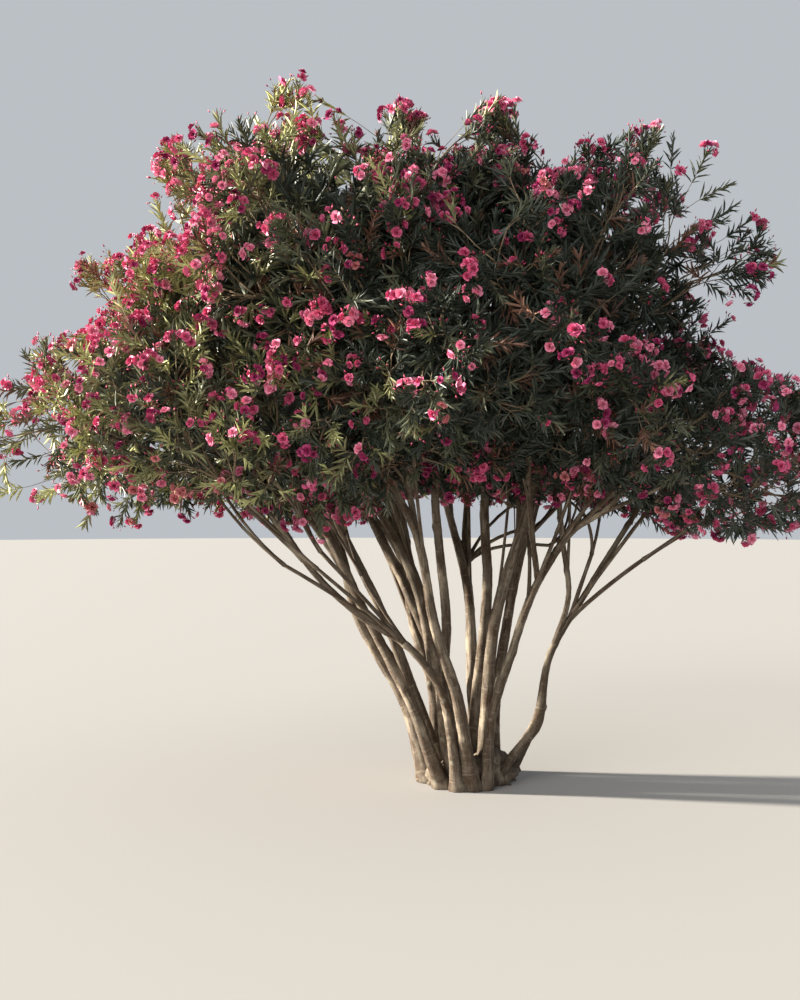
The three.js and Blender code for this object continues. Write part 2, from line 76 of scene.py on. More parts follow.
spread = {"across": 2.3, "depth": 1.99, "above": 1.62, "below": 1.14}
massRings = [
    {"name": "low", "count": 8, "tilt": -17, "drop": 4, "turn": 0},
    {"name": "middle", "count": 8, "tilt": 16, "drop": 11, "turn": 22.5},
    {"name": "high", "count": 6, "tilt": 45, "drop": 13, "turn": 30},
    {"name": "top", "count": 2, "tilt": 74, "drop": 13, "turn": 0},
]
massShape = {
    "hub": 0.7,  # share of the crown's reach at which a mass has its middle
    "entry": 0.56,  # and at which its limb ends
    "wall": 0.007,
    "floor": 1.4,
}
openMasses = {"low_5": 0.45, "middle_8": 0.5, "high_1": 0.55}  # share of the shoots that they keep
# Where sky shows through the crown from the front: across and up at the stems' depth, size and share
thinPlaces = [
    (-0.73, 3.36, 0.17, 0.25), (-1.54, 3.02, 0.1, 0.4), (-2.45, 1.95, 0.2, 0.6),
    (1.02, 2.57, 0.22, 0.35), (1.22, 3.0, 0.24, 0.45), (0.42, 3.4, 0.12, 0.4),
    (-0.1, 3.52, 0.1, 0.4), (0.9, 3.02, 0.28, 0.55),
]

crownCentre = np.array(crown["centre"])
outlineOffsets = np.array(crown["outline"]) - crownCentre[[0, 2]]
outlineAngles = np.arctan2(outlineOffsets[:, 1], outlineOffsets[:, 0])
outlineReaches = np.hypot(outlineOffsets[:, 0], outlineOffsets[:, 1])


def unit(vectors):
    return vectors / np.maximum(np.linalg.norm(vectors, axis=-1, keepdims=True), 1e-9)


def named(rows, name):
    return next(one for one in rows if one["name"] == name)


def seededRandom(seed):
    state = [seed]

    def draw():
        state[0] = (state[0] * 1664525 + 1013904223) % 2**32
        return state[0] / 2**32

    return draw


def crownReach(ways):
    x, y, z = ways[..., 0], ways[..., 1], ways[..., 2]
    outline = np.interp(np.arctan2(z, x), outlineAngles, outlineReaches, period=2 * math.pi)
    depth = np.where(y < 0, crown["frontReach"], crown["backReach"])
    full = crown["fullness"]
    plain = ((np.hypot(x, z) / outline) ** full + (np.abs(y) / depth) ** full) ** (-1 / full)
    columns = np.sin(crown["columns"][0] * x + crown["columns"][1])
    rows = np.sin(crown["rows"][0] * z + crown["rows"][1])
    return plain * (1 + crown["lumps"] * np.abs(y) * columns * rows)


def crownPoint(ways, shares):
    return crownCentre + ways * (crownReach(ways) * shares)[..., None]


def crownShare(points):
    offsets = points - crownCentre
    distances = np.linalg.norm(offsets, axis=-1)
    return distances / crownReach(offsets / distances[..., None])


def crownWay(turn, tilt):
    angle, rise = math.radians(turn), math.radians(tilt)
    flat = unit(np.array([math.cos(angle) * spread["across"], math.sin(angle) * spread["depth"], 0]))
    return flat * math.cos(rise) + up * math.sin(rise)


# Stems and boughs, by the part's rule

stemFoot = {"low": 0.19, "middle": 0.235, "high": 0.14, "top": 0.05}
stemTurn = {"low": 0, "middle": 26, "high": -40, "top": 90}  # of a foot from below its mass, in degrees
stemGirth = {"low": 0.062, "middle": 0.074, "high": 0.08, "top": 0.088}
stemShape = {
    "tip": 0.026,
    "taper": 0.66,
    "unevenGirth": 0.14,
    "lean": 0.46,
    "leave": 0.76,
    "arrive": 0.52,
    "stray": 0.05,
    "bends": 5,
    "wander": 0.052,
    "links": 16,  # straight parts that twigs keep clear of
    "seed": 11,
}
stemBends = {
    "middle_4": (-0.11, 0, 0),
    "middle_5": (-0.13, -0.04, 0),
    "high_4": (-0.19, 0, 0),
    "high_1": (-0.06, 0, 0),
    "high_6": (-0.09, 0.04, 0),
    "high_5": (0.05, 0.05, 0),
    "middle_3": (0.08, 0.09, 0),
}
ownRoutes = {
    "low_1": [
        (0.12, -0.09, 0), (0.215, -0.115, 0.15), (0.35, -0.13, 0.335), (0.425, -0.13, 0.7),
        (0.63, -0.11, 1.05), (0.88, -0.08, 1.44), (1.01, -0.06, 1.64),
    ],
    "low_6": [
        (-0.08, -0.252, 0), (-0.112, -0.276, 0.3), (-0.19, -0.31, 0.57), (-0.36, -0.37, 0.79),
        (-0.6, -0.44, 0.95), (-0.83, -0.54, 1.18), (-1.01, -0.65, 1.48), (-1.13, -0.73, 1.85),
    ],
    "low_8": [
        (0.07, -0.215, 0), (0.105, -0.235, 0.4), (0.205, -0.27, 0.73), (0.345, -0.27, 1.11),
        (0.51, -0.4, 1.38), (0.67, -0.56, 1.5), (0.76, -0.68, 1.64),
    ],
}
burl = {"stem": "low_1", "point": 2, "length": 0.07, "swelling": 0.5}
prop = {"foot": (0.215, 0.025, 0), "middle": (0.3, -0.04, 0.19), "girth": 0.046}
forks = [
    {"carries": "low_2", "from": "high_1", "at": 0.34},
    {"carries": "low_3", "from": "middle_2", "at": 0.46},
    {"carries": "low_4", "from": "middle_3", "at": 0.4},
    {"carries": "low_5", "from": "high_4", "at": 0.2},
    {"carries": "low_7", "from": "middle_6", "at": 0.5},
    {"carries": "middle_1", "from": "high_1", "at": 0.5},
    {"carries": "middle_7", "from": "low_8", "at": 0.5},
    {"carries": "middle_8", "from": "low_1", "at": 0.52},
]
boughShape = {"share": 0.8, "leave": 0.16, "arrive": 0.3, "seed": 3}


def makeMasses():
    masses = []
    for ring in massRings:
        for index in range(ring["count"]):
            turn = ring["turn"] + 360 * index / ring["count"]
            name = f"{ring['name']}_{index + 1}"
            way = crownWay(turn, ring["tilt"])
            entry = crownPoint(crownWay(turn, ring["tilt"] - ring["drop"]), massShape["entry"])
            if name in ownRoutes:
                entry = np.array(ownRoutes[name][-1])
            hub = crownPoint(way, massShape["hub"])
            masses.append({"name": name, "ring": ring["name"], "way": way, "hub": hub, "entry": entry})
    return masses


masses = makeMasses()
hubs = np.array([one["hub"] for one in masses])


def bezierRoute(points):
    a, b, c, d = [np.array(point, float) for point in points]

    def at(shares):
        t = np.asarray(shares, float)[..., None]
        return a * (1 - t) ** 3 + b * 3 * t * (1 - t) ** 2 + c * 3 * t**2 * (1 - t) + d * t**3

    return at


# A smooth route through its points, evened out by their distances
def routeThrough(points):
    points = np.array(points, float)
    padded = np.vstack([2 * points[0] - points[1], points, 2 * points[-1] - points[-2]])
    gaps = np.linalg.norm(np.diff(padded, axis=0), axis=1) ** 0.5

    def at(shares):
        place = np.asarray(shares, float) * (len(points) - 1)
        index = np.clip(np.floor(place).astype(int), 0, len(points) - 2)
        weight = (place - index)[..., None]
        x0, x1, x2, x3 = (padded[index + step] for step in range(4))
        d0, d1, d2 = (gaps[index + step][..., None] for step in range(3))
        t1 = ((x1 - x0) / d0 - (x2 - x0) / (d0 + d1) + (x2 - x1) / d1) * d1
        t2 = ((x2 - x1) / d1 - (x3 - x1) / (d1 + d2) + (x3 - x2) / d2) * d1
        square = -3 * x1 + 3 * x2 - 2 * t1 - t2
        cube = 2 * x1 - 2 * x2 + t1 + t2
        return x1 + t1 * weight + square * weight**2 + cube * weight**3

    return at


def tangentOf(route, shares):
    shares = np.asarray(shares, float)
    return unit(route(np.minimum(shares + 1e-4, 1)) - route(np.maximum(shares - 1e-4, 0)))


def routeLength(route):
    return np.linalg.norm(np.diff(route(np.linspace(0, 1, 201)), axis=0), axis=1).sum()


# A limb strays from an even curve between its ends
def wandering(even, random):
    points = even(np.linspace(0, 1, stemShape["bends"] + 2))
    for point in points[1:-1]:
        point += stemShape["wander"] * np.array([2 * random() - 1, 2 * random() - 1, 0])
    return routeThrough(points)


def makeLimb(name, route, girth, kind):
    def radiusAt(shares):
        share = np.clip(shares, 0, 1) ** stemShape["taper"]
        return (girth + (stemShape["tip"] - girth) * share) / 2

    return {"name": name, "kind": kind, "route": route, "radiusAt": radiusAt}


def makeStems():
    random = seededRandom(stemShape["seed"])
    carried = [fork["carries"] for fork in forks]
    stems = []
    for one in masses:
        if one["name"] in carried:
            continue
        if one["name"] in ownRoutes:
            route = routeThrough(ownRoutes[one["name"]])
        else:
            flat = unit(one["way"] * (1, 1, 0)) * stemFoot[one["ring"]]
            turn = math.radians(stemTurn[one["ring"]])
            foot = math.cos(turn) * flat + math.sin(turn) * np.cross(up, flat)
            leave = (one["entry"] - foot) * (1, 1, 0) * stemShape["lean"] / one["entry"][2] + up
            arrive = unit(one["hub"] - one["entry"])
            stray = np.array([random() - 0.5, random() - 0.5, 0]) * 2 * stemShape["stray"]
            bend = np.array(stemBends.get(one["name"], (0, 0, 0)))
            low = foot + leave * stemShape["leave"] + stray + bend
            high = one["entry"] - arrive * stemShape["arrive"]
            route = wandering(bezierRoute([foot, low, high, one["entry"]]), random)
        girth = stemGirth[one["ring"]] * (1 + stemShape["unevenGirth"] * (2 * random() - 1))
        stems.append(makeLimb(one["name"], route, girth, "stem"))
    burled = named(stems, burl["stem"])
    plain = burled["radiusAt"]
    burlAt = burl["point"] / (len(ownRoutes[burl["stem"]]) - 1)
    burled["radiusAt"] = lambda shares: plain(shares) * (
        1 + burl["swelling"] * np.exp(-(((shares - burlAt) / burl["length"]) ** 2))
    )
    propRoute = routeThrough([prop["foot"], prop["middle"], ownRoutes[burl["stem"]][burl["point"]]])
    stems.append(makeLimb("prop", propRoute, prop["girth"], "stem"))
    return stems


def makeBoughs(stems):
    random = seededRandom(boughShape["seed"])
    boughs = []
    for fork in forks:
        one, parent = named(masses, fork["carries"]), named(stems, fork["from"])
        start = parent["route"](fork["at"])
        way = one["entry"] - start
        reach = np.linalg.norm(way)
        leave = tangentOf(parent["route"], fork["at"]) + way / reach
        arrive = unit(one["hub"] - one["entry"])
        low = start + leave * boughShape["leave"] * reach
        high = one["entry"] - arrive * boughShape["arrive"] * reach
        girth = 2 * parent["radiusAt"](fork["at"]) * boughShape["share"]
        route = wandering(bezierRoute([start, low, high, one["entry"]]), random)
        boughs.append(makeLimb(one["name"], route, girth, "bough"))
    return boughs


stems = makeStems()
boughs = makeBoughs(stems)
limbs = stems + boughs
print(f"routes: {len(stems)} stems and {len(boughs)} boughs")

# Bark


# Smooth seeded noise from 0 to 1 at points of any shape
def softNoise(points, seed):
    cell = np.floor(points).astype(np.int64)
    part = points - cell
    part = part * part * (3 - 2 * part)
    total = np.zeros(points.shape[:-1])
    for corner in np.ndindex(2, 2, 2):
        place = cell + corner
        mixed = (place * (73856093, 19349663, 83492791)).sum(-1) + seed * 374761393
        mixed = (mixed ^ (mixed >> 13)) * 1274126177 & 0xFFFFFFFF
        value = ((mixed ^ (mixed >> 16)) & 0xFFFFFF) / 0xFFFFFF
        weight = np.prod(np.where(np.array(corner) == 1, part, 1 - part), axis=-1)
        total += value * weight
    return total


nearlyRound = 6.28  # a turn drawn at random is up to this, in radians
barkRelief = {
    "sides": 18,
    "ringGap": 0.0125,
    "flare": 0.6,  # how much wider a stem is where it leaves the ground
    "flareHeight": 0.11,
    "sway": 0.75,  # how far it strays from its route, as a share of its radius
    "swaysPerMetre": 3.6,
    "fluting": 0.075,  # share of the radius
    "lumps": 0.12,
    "lumpGrain": (1.1, 1.1, 9),  # round and along the limb
    "fineGrain": (2.3, 2.3, 23),
    "furrowGrain": (4.5, 4.5, 13),
    "scarGrain": (0.8, 0.8, 7),
    "furrows": 0.0018,
    "scars": 0.0011,
    "scarGap": 0.06,
    "knots": 3.4,  # per metre
    "knotHeight": 0.009,
    "knotSize": 0.017,
    "below": 0.05,  # how far a stem's mesh starts under the ground, before it is cut there
    "mapWidth": 0.03,  # of the bark's pattern round a limb
    "seed": 200,
    "seedStep": 10,
}


def limbSurface(limb, turns, shares, along, seed):
    angle = turns * 2 * math.pi
    route, settings = limb["route"], barkRelief
    clipped = np.clip(shares, 0, 1)
    centre = route(clipped)
    tangent = tangentOf(route, clipped)
    centre = centre + tangent * ((shares - clipped) * routeLength(route))[..., None]
    across = unit(np.cross(np.array([0.0, 1.0, 0.0]), tangent))
    side = np.cross(tangent, across)
    radius = limb["radiusAt"](clipped)
    for sway, place in ((across, 0.5), (side, 9.5)):
        rows = np.full_like(along, place)
        path = np.stack([settings["swaysPerMetre"] * along, rows, rows], axis=-1)
        strayed = settings["sway"] * radius * (softNoise(path, seed + 5) - 0.5)
        centre = centre + sway * strayed[..., None]
    if limb["kind"] == "stem":
        flare = settings["flare"] * np.exp(-np.maximum(along, 0) / settings["flareHeight"])
        radius = radius * (1 + flare)
    straight = np.stack([np.cos(angle), np.sin(angle), along], axis=-1)
    random = np.random.default_rng(seed)
    phase, twist = random.uniform(0, nearlyRound), random.uniform(-3, 3)
    fluted = 1 + settings["fluting"] * np.cos(2 * angle + phase + twist * along)
    fluted += 0.4 * settings["fluting"] * np.cos(5 * angle - phase + 2 * twist * along)
    lumps = softNoise(straight * settings["lumpGrain"], seed)
    lumps = lumps + 0.5 * softNoise(straight * settings["fineGrain"], seed + 1)
    radius = radius * (fluted + settings["lumps"] * (lumps - 0.75))
    ridges = 1 - np.abs(2 * softNoise(straight * settings["furrowGrain"], seed + 2) - 1)
    radius = radius + settings["furrows"] * (ridges - 0.5)
    scarPlace = along / settings["scarGap"]
    scarPlace = scarPlace + 0.6 * softNoise(straight * settings["scarGrain"], seed + 3)
    radius = radius + settings["scars"] * np.maximum(np.cos(scarPlace * 2 * math.pi), 0) ** 3
    length = along.max()
    for _ in range(int(length * settings["knots"])):
        knotAlong = random.uniform(0.12, max(length - 0.1, 0.13))
        knotTurn = random.uniform(0, nearlyRound)
        size = settings["knotSize"] * random.uniform(0.6, 1.3)
        apart = np.abs((angle - knotTurn + math.pi) % (2 * math.pi) - math.pi) * radius
        bump = np.exp(-((along - knotAlong) ** 2 + apart**2) / size**2)
        radius = radius + settings["knotHeight"] * random.uniform(0.3, 1.2) * bump
    outward = across * np.sin(angle)[..., None] + side * np.cos(angle)[..., None]
    shift = random.uniform(0, 20)  # so that no two limbs have the same pattern of bark
    width = settings["mapWidth"]
    return centre + outward * radius[..., None], straight * (width, width, 1) + (0, 0, shift)


def placePiece(mesh, material, nodes):
    piece = bpy.data.objects.new(mesh.name, mesh)
    bpy.context.scene.collection.objects.link(piece)
    mesh.materials.append(material)
    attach(piece, "root")
    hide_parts(*nodes)
    return piece


def meshFrom(name, bm):
    mesh = bpy.data.meshes.new(name)
    bm.to_mesh(mesh)
    bm.free()
    return mesh


# The wood of a node: what is under the ground is cut off and closed
def finishWood(node, bm, grounded):
    if grounded:
        everything = bm.verts[:] + bm.edges[:] + bm.faces[:]
        ground = bmesh.ops.bisect_plane(
            bm, geom=everything, plane_co=(0, 0, 0), plane_no=(0, 0, -1), clear_outer=True
        )
        cut = [part for part in ground["geom_cut"] if isinstance(part, bmesh.types.BMEdge)]
        bmesh.ops.holes_fill(bm, edges=cut, sides=0)
    bmesh.ops.recalc_face_normals(bm, faces=bm.faces)
    mesh = meshFrom(f"bark_{node}", bm)
    mesh.shade_smooth()
    placePiece(mesh, bark, [node])


def makeLimbPiece(limb, seed):
    length = routeLength(limb["route"])
    grounded = limb["kind"] == "stem"
    below = barkRelief["below"] / length if grounded else 0
    rings = math.ceil((1 + below) * length / barkRelief["ringGap"])
    bm = bmesh.new()
    barkMap = bm.verts.layers.float_vector.new("barkMap")
    bmesh.ops.create_grid(bm, x_segments=barkRelief["sides"], y_segments=rings, size=0.5)
    flat = np.array([vertex.co[:2] for vertex in bm.verts]) + 0.5
    shares = flat[:, 1] * (1 + below) - below
    points, straight = limbSurface(limb, flat[:, 0], shares, shares * length, seed)
    for vertex, point, place in zip(bm.verts, points, straight):
        vertex.co = point
        vertex[barkMap] = place
    bmesh.ops.remove_doubles(bm, verts=bm.verts, dist=1e-5)
    bmesh.ops.holes_fill(bm, edges=[edge for edge in bm.edges if edge.is_boundary], sides=0)
    finishWood(f"{limb['kind']}_{limb['name']}", bm, grounded)


rootCrown = {
    "radius": 0.255,
    "height": 0.1,
    "detail": 5,
    "lumps": 0.4,
    "lumpGrain": 3.1,
    "fineGrain": 8,
    "footRise": 0.07,
    "footSize": 0.07,
    "seed": 51,
}


def makeRootCrown():
    bm = bmesh.new()
    barkMap = bm.verts.layers.float_vector.new("barkMap")
    bmesh.ops.create_icosphere(bm, subdivisions=rootCrown["detail"], radius=1)
    ways = np.array([vertex.co for vertex in bm.verts])
    lumps = softNoise(ways * rootCrown["lumpGrain"] + 7, rootCrown["seed"])
    lumps = lumps + 0.5 * softNoise(ways * rootCrown["fineGrain"] + 3, rootCrown["seed"] + 1)
    uneven = 1 + rootCrown["lumps"] * (lumps - 0.9)
    size = np.array([rootCrown["radius"], rootCrown["radius"], rootCrown["height"]])
    points = ways * size * uneven[:, None]
    for limb in stems:
        foot = limb["route"](0.02)
        apart = ((points[:, :2] - foot[:2]) ** 2).sum(1)
        rise = rootCrown["footRise"] * np.exp(-apart / rootCrown["footSize"] ** 2)
        points[:, 2] += np.where(ways[:, 2] > 0, rise * np.minimum(ways[:, 2] * 3, 1), 0)
    for vertex, point in zip(bm.verts, points):
        vertex.co = point
        vertex[barkMap] = point
    finishWood("root_crown", bm, True)


barkLook = {
    "grey": (0.145, 0.115, 0.083, 1),
    "brown": (0.07, 0.045, 0.028, 1),
    "pale": (0.34, 0.28, 0.205, 1),
    "dark": (0.034, 0.022, 0.015, 1),
    "lichen": (0.25, 0.24, 0.18, 1),
    "bump": 0.55,
    "bumpDepth": 0.0025,
    "heights": {"streaks": 0.55, "plates": 0.5, "rings": 0.35, "specks": 0.12},  # the rings are sunken
    # each pattern's stretch, scale, detail and roughness
    "patterns": {
        "plates": ((1, 1, 0.35), 26, 4, 0.6),
        "blotches": ((1, 1, 0.5), 9, 3, 0.6),
        "streaks": ((1, 1, 0.09), 120, 5, 0.7),
        "rings": ((0.12, 0.12, 1), 95, 3, 0.65),
        "specks": ((0.5, 0.5, 1), 330, 2, 0.6),
        "patches": ((1, 1, 1), 14, 5, 0.6),
    },
    # a pattern, where it starts and is full, how far it covers, and its colour, from the bottom up
    "layers": [
        ("plates", 0.35, 0.65, 1.0, "grey"),
        ("blotches", 0.52, 0.68, 0.75, "pale"),
        ("streaks", 0.52, 0.34, 0.8, "dark"),
        ("rings", 0.56, 0.72, 0.42, "dark"),
        ("rings", 0.42, 0.3, 0.4, "pale"),
        ("specks", 0.62, 0.72, 0.55, "pale"),
        ("patches", 0.6, 0.72, 0.5, "lichen"),
    ],
}


def barkMaterial():
    material = bpy.data.materials.new("oleanderBark")
    material.use_nodes = True
    nodes, links = material.node_tree.nodes, material.node_tree.links
    nodes.clear()
    output = nodes.new("ShaderNodeOutputMaterial")
    shader = nodes.new("ShaderNodeBsdfPrincipled")
    shader.inputs["Specular IOR Level"].default_value = 0.3
    links.new(shader.outputs[0], output.inputs["Surface"])
    place = nodes.new("ShaderNodeAttribute")
    place.attribute_name = "barkMap"

    def patternNode(stretch, scale, detail, roughness):
        mapping = nodes.new("ShaderNodeMapping")
        mapping.inputs["Scale"].default_value = stretch
        links.new(place.outputs["Vector"], mapping.inputs["Vector"])
        noise = nodes.new("ShaderNodeTexNoise")
        for socket, number in (("Scale", scale), ("Detail", detail), ("Roughness", roughness)):
            noise.inputs[socket].default_value = number
        links.new(mapping.outputs["Vector"], noise.inputs["Vector"])
        return noise.outputs["Fac"]

    def ramp(value, low, high, first=0.0, last=1.0):
        remap = nodes.new("ShaderNodeMapRange")
        remap.interpolation_type = "SMOOTHSTEP"
        for socket, number in zip(remap.inputs[1:5], (low, high, first, last)):
            socket.default_value = number
        links.new(value, remap.inputs[0])
        return remap.outputs[0]

    def mixColour(factor, first, second):
        mix = nodes.new("ShaderNodeMix")
        mix.data_type = "RGBA"
        links.new(factor, mix.inputs["Factor"])
        for socket, value in ((mix.inputs[6], first), (mix.inputs[7], second)):
            if isinstance(value, tuple):
                socket.default_value = value
            else:
                links.new(value, socket)
        return mix.outputs[2]

    def combine(operation, first, second):
        node = nodes.new("ShaderNodeMath")
        node.operation = operation
        for socket, value in zip(node.inputs, (first, second)):
            if isinstance(value, float):
                socket.default_value = value
            else:
                links.new(value, socket)
        return node.outputs[0]

    patterns = {name: patternNode(*numbers) for name, numbers in barkLook["patterns"].items()}
    colour = barkLook["brown"]
    for name, low, high, most, tint in barkLook["layers"]:
        colour = mixColour(ramp(patterns[name], low, high, 0.0, most), colour, barkLook[tint])
    links.new(colour, shader.inputs["Base Color"])
    links.new(ramp(patterns["plates"], 0.3, 0.7, 0.95, 0.72), shader.inputs["Roughness"])
    patterns["rings"] = ramp(patterns["rings"], 0.56, 0.7)
    height = 0.0
    for name, share in barkLook["heights"].items():
        part = combine("MULTIPLY", patterns[name], share)
        height = combine("SUBTRACT" if name == "rings" else "ADD", height, part)
    bump = nodes.new("ShaderNodeBump")
    bump.inputs["Strength"].default_value = barkLook["bump"]
    bump.inputs["Distance"].default_value = barkLook["bumpDepth"]
    links.new(height, bump.inputs["Height"])
    links.new(bump.outputs[0], shader.inputs["Normal"])
    return material


bark = barkMaterial()
for index, limb in enumerate(limbs):
    makeLimbPiece(limb, barkRelief["seed"] + barkRelief["seedStep"] * index)
makeRootCrown()
print("bark: limbs and root crown made")

# Growth: shoots over the crown, and the twigs that fork towards them

shootSpread = {
    "count": 14800,
    "seed": 5,
    "deepest": 0.62,  # shares of the crown's reach at which shoots end
    "outermost": 0.95,
    "bias": 1.7,  # over 1, more of them end near the outermost share
    "jitter": 0.012,
    "ragged": 0.15,  # how far the crown's surface steps in and out between sprays
    "leaders": 0.012,  # this share of the shoots stands out over the rest, to these shares of the reach
    "leading": (0.93, 0.97),
    # shoots at the outline's peaks
    "perPeak": 26,
    "peakForward": 0.45,
    "peakJitter": 0.045,
    "tall": (0.885, 0.955),
    # single sprays that stand out over the crown, towards these points
    "sprays": [
        (-2.02, -0.5, 2.72), (-0.91, -0.9, 3.54), (0.86, -0.5, 3.33), (1.25, -0.5, 2.93), (1.5, -0.5, 2.8),
    ],
    "perSpray": 12,
    "sprayJitter": 0.05,
    "tallest": (0.93, 1.0),
    "hanging": 0.08,  # how much further the crown's fringe hangs than the rest reaches
    "hollow": (0.66, 0.27),  # width and height of the open space under the middle of the crown
    "fringe": 0.03,  # how far shoots end under the masses' floor at its edge
    "noiseSeed": 61,
}
feed = {
    "splits": 3,  # a mass's shoots part into up to 2 to this power of boughs
    "fewest": 14,
    "lowest": 0.24,  # share of a limb above which boughs leave it
    "latest": 0.97,
    "angles": (8, 34),
    "clearOfGround": 0.74,
    "starts": 30,  # places along a limb that are tried
    "uneven": 6,
    "along": 1.2,  # how much a bough starts along its limb rather than towards its shoots
    # a bough this far from the foot stays inside these shares of the crown's reach
    "outside": ((0.95, 1.3), (1.5, 1.05)),
    "lift": 0.05,  # step by which a bough that would hang out is lifted
    "noiseSeed": 70,
    "seed": 100,
}
twigShape = {
    "forkAt": 0.42,
    "carry": 0.35,
    "stray": 0.12,
    "tries": 8,
    "uneven": 0.2,
    "together": 3,  # this many shoots or fewer part at one fork
    "radius": 0.0021,  # of a twig with one shoot
    "swell": 0.38,
    "tip": 0.0012,
    "clear": 0.006,
    "sag": 0.09,
    "giveUp": 5,
    "longest": 0.42,  # of a twig with one shoot
    "longer": (1, 1.4, 9),  # times that, with one, two to four, and more shoots
    "shortest": 0.03,
    "bow": 0.25,
    "narrows": 0.88,
    "forkDepth": 0.8,  # in radii
}


def evenWays(count):
    index = np.arange(count)
    height = 1 - (2 * index + 1) / count
    turn = index * math.pi * (3 - math.sqrt(5))
    flat = np.sqrt(1 - height**2)
    rise = height * np.where(height > 0, spread["above"], spread["below"])
    across, depth = np.cos(turn) * flat * spread["across"], np.sin(turn) * flat * spread["depth"]
    return unit(np.stack([across, depth, rise], axis=1))


def peakWays(rng):
    order = np.argsort(outlineAngles)
    reaches = outlineReaches[order]
    peaks = order[(reaches > np.roll(reaches, 1)) & (reaches > np.roll(reaches, -1))]
    angles = np.repeat(outlineAngles[peaks], shootSpread["perPeak"])
    forward = np.full(len(angles), -shootSpread["peakForward"])
    ways = np.stack([np.cos(angles), forward, np.sin(angles)], axis=1)
    jitter = rng.normal(0, shootSpread["peakJitter"], ways.shape) * (1, 3, 1)
    return unit(ways + jitter)


def sprayWays(rng):
    points = np.repeat(np.array(shootSpread["sprays"]), shootSpread["perSpray"], axis=0)
    return unit(points - crownCentre + rng.normal(0, shootSpread["sprayJitter"], points.shape))


boxSpare = 0.03  # nothing grows further than this past the part's own size


def insideBox(points):
    low, high = np.array(cadLow) - boxSpare, np.array(cadHigh) + boxSpare
    return ((points > low) & (points < high)).all(axis=-1)


def hangingShare(ways):
    return shootSpread["hanging"] * np.clip(-ways[..., 2] / 0.3, 0, 1)


# Where shoots end, and the mass that each belongs to
def makeShoots():
    rng = np.random.default_rng(shootSpread["seed"])
    even = evenWays(shootSpread["count"])
    even = unit(even + rng.normal(0, shootSpread["jitter"], even.shape))
    peaks, sprays = peakWays(rng), sprayWays(rng)
    depth = rng.random(len(even)) ** shootSpread["bias"]
    shares = shootSpread["outermost"] - depth * (shootSpread["outermost"] - shootSpread["deepest"])
    tall = rng.uniform(*shootSpread["tall"], len(peaks))
    tallest = rng.uniform(*shootSpread["tallest"], len(sprays))
    shares = np.concatenate([shares, tall, tallest])
    ways = np.vstack([even, peaks, sprays])
    seed = shootSpread["noiseSeed"]
    ragged = np.clip(2.6 * softNoise(ways * 9 + 11, seed) - 0.7, 0, 1)
    ragged = ragged + 0.5 * softNoise(ways * 21 + 5, seed + 1)
    shares[: len(even)] -= shootSpread["ragged"] * ragged[: len(even)]
    grouped = np.clip(6 * softNoise(ways * 7 + 4, seed + 2) - 3.2, 0, 3)
    leads = rng.random(len(ways)) < shootSpread["leaders"] * grouped
    shares = np.where(leads, rng.uniform(*shootSpread["leading"], len(ways)), shares)
    shares = shares + hangingShare(ways)
    ends = crownPoint(ways, shares)
    owners = np.linalg.norm(ends[:, None] - hubs[None], axis=2).argmin(axis=1)
    inward = np.hypot(ends[:, 0] - crownCentre[0], ends[:, 1])
    width, height = shootSpread["hollow"]
    lowest = massShape["floor"] - shootSpread["fringe"] + height * np.exp(-((inward / width) ** 2))
    kept = (ends[:, 2] > lowest) & insideBox(ends)
    for index, one in enumerate(masses):
        if one["name"] in openMasses:
            kept &= (owners != index) | (rng.random(len(ends)) < openMasses[one["name"]])
    nearness = -viewPoint[1] / (ends[:, 1] - viewPoint[1])
    seen = viewPoint + (ends - viewPoint) * nearness[:, None]
    for across, height, size, share in thinPlaces:
        inside = np.hypot(seen[:, 0] - across, seen[:, 2] - height) < size
        kept &= ~inside | (rng.random(len(ends)) < share)
    return ends[kept], owners[kept]


def chainOf(limb):
    shares = np.linspace(0, 1, stemShape["links"] + 1)
    points, radii = limb["route"](shares), limb["radiusAt"](shares)
    return points[:-1], points[1:], np.maximum(radii[:-1], radii[1:])


# How near a straight twig comes to each link of the other limbs
def gapsTo(links, start, end):
    first, second, offset = end - start, links[1] - links[0], start - links[0]
    across = second @ first
    firstSquare, secondSquare = first @ first, (second * second).sum(1)
    slope = firstSquare * secondSquare - across**2
    secondOffset, firstOffset = (second * offset).sum(1), offset @ first
    nearest = across * secondOffset - secondSquare * firstOffset
    onFirst = np.where(slope > 1e-12, np.clip(nearest / np.maximum(slope, 1e-12), 0, 1), 0)
    onSecond = np.clip((across * onFirst + secondOffset) / secondSquare, 0, 1)
    onFirst = np.clip((across * onSecond - firstOffset) / firstSquare, 0, 1)
    apart = offset + first * onFirst[:, None] - second * onSecond[:, None]
    return np.sqrt((apart * apart).sum(1))


# A mass of foliage keeps to its own side of the planes halfway to its neighbours
class Mass:
    def __init__(self, index):
        self.own = masses[index]
        others = np.delete(hubs, index, axis=0)
        apart = others - self.own["hub"]
        self.normals = unit(apart)
        self.offsets = ((others + self.own["hub"]) / 2 * self.normals).sum(1) - massShape["wall"]
        self.limb = named(limbs, self.own["name"])
        chains = [chainOf(limb) for limb in limbs if limb is not self.limb]
        self.links = tuple(np.concatenate(parts) for parts in zip(*chains))
        self.twigs = []

    def room(self, point):
        return (self.offsets - self.normals @ point).min()

    def fits(self, start, end, halfWidth):
        if self.room(start) > 0 >= self.room(end):
            return False
        gaps = gapsTo(self.links, start, end)
        return bool((gaps > self.links[2] + halfWidth + twigShape["clear"]).all())


def twigRadius(count):
    return twigShape["radius"] * count ** twigShape["swell"]


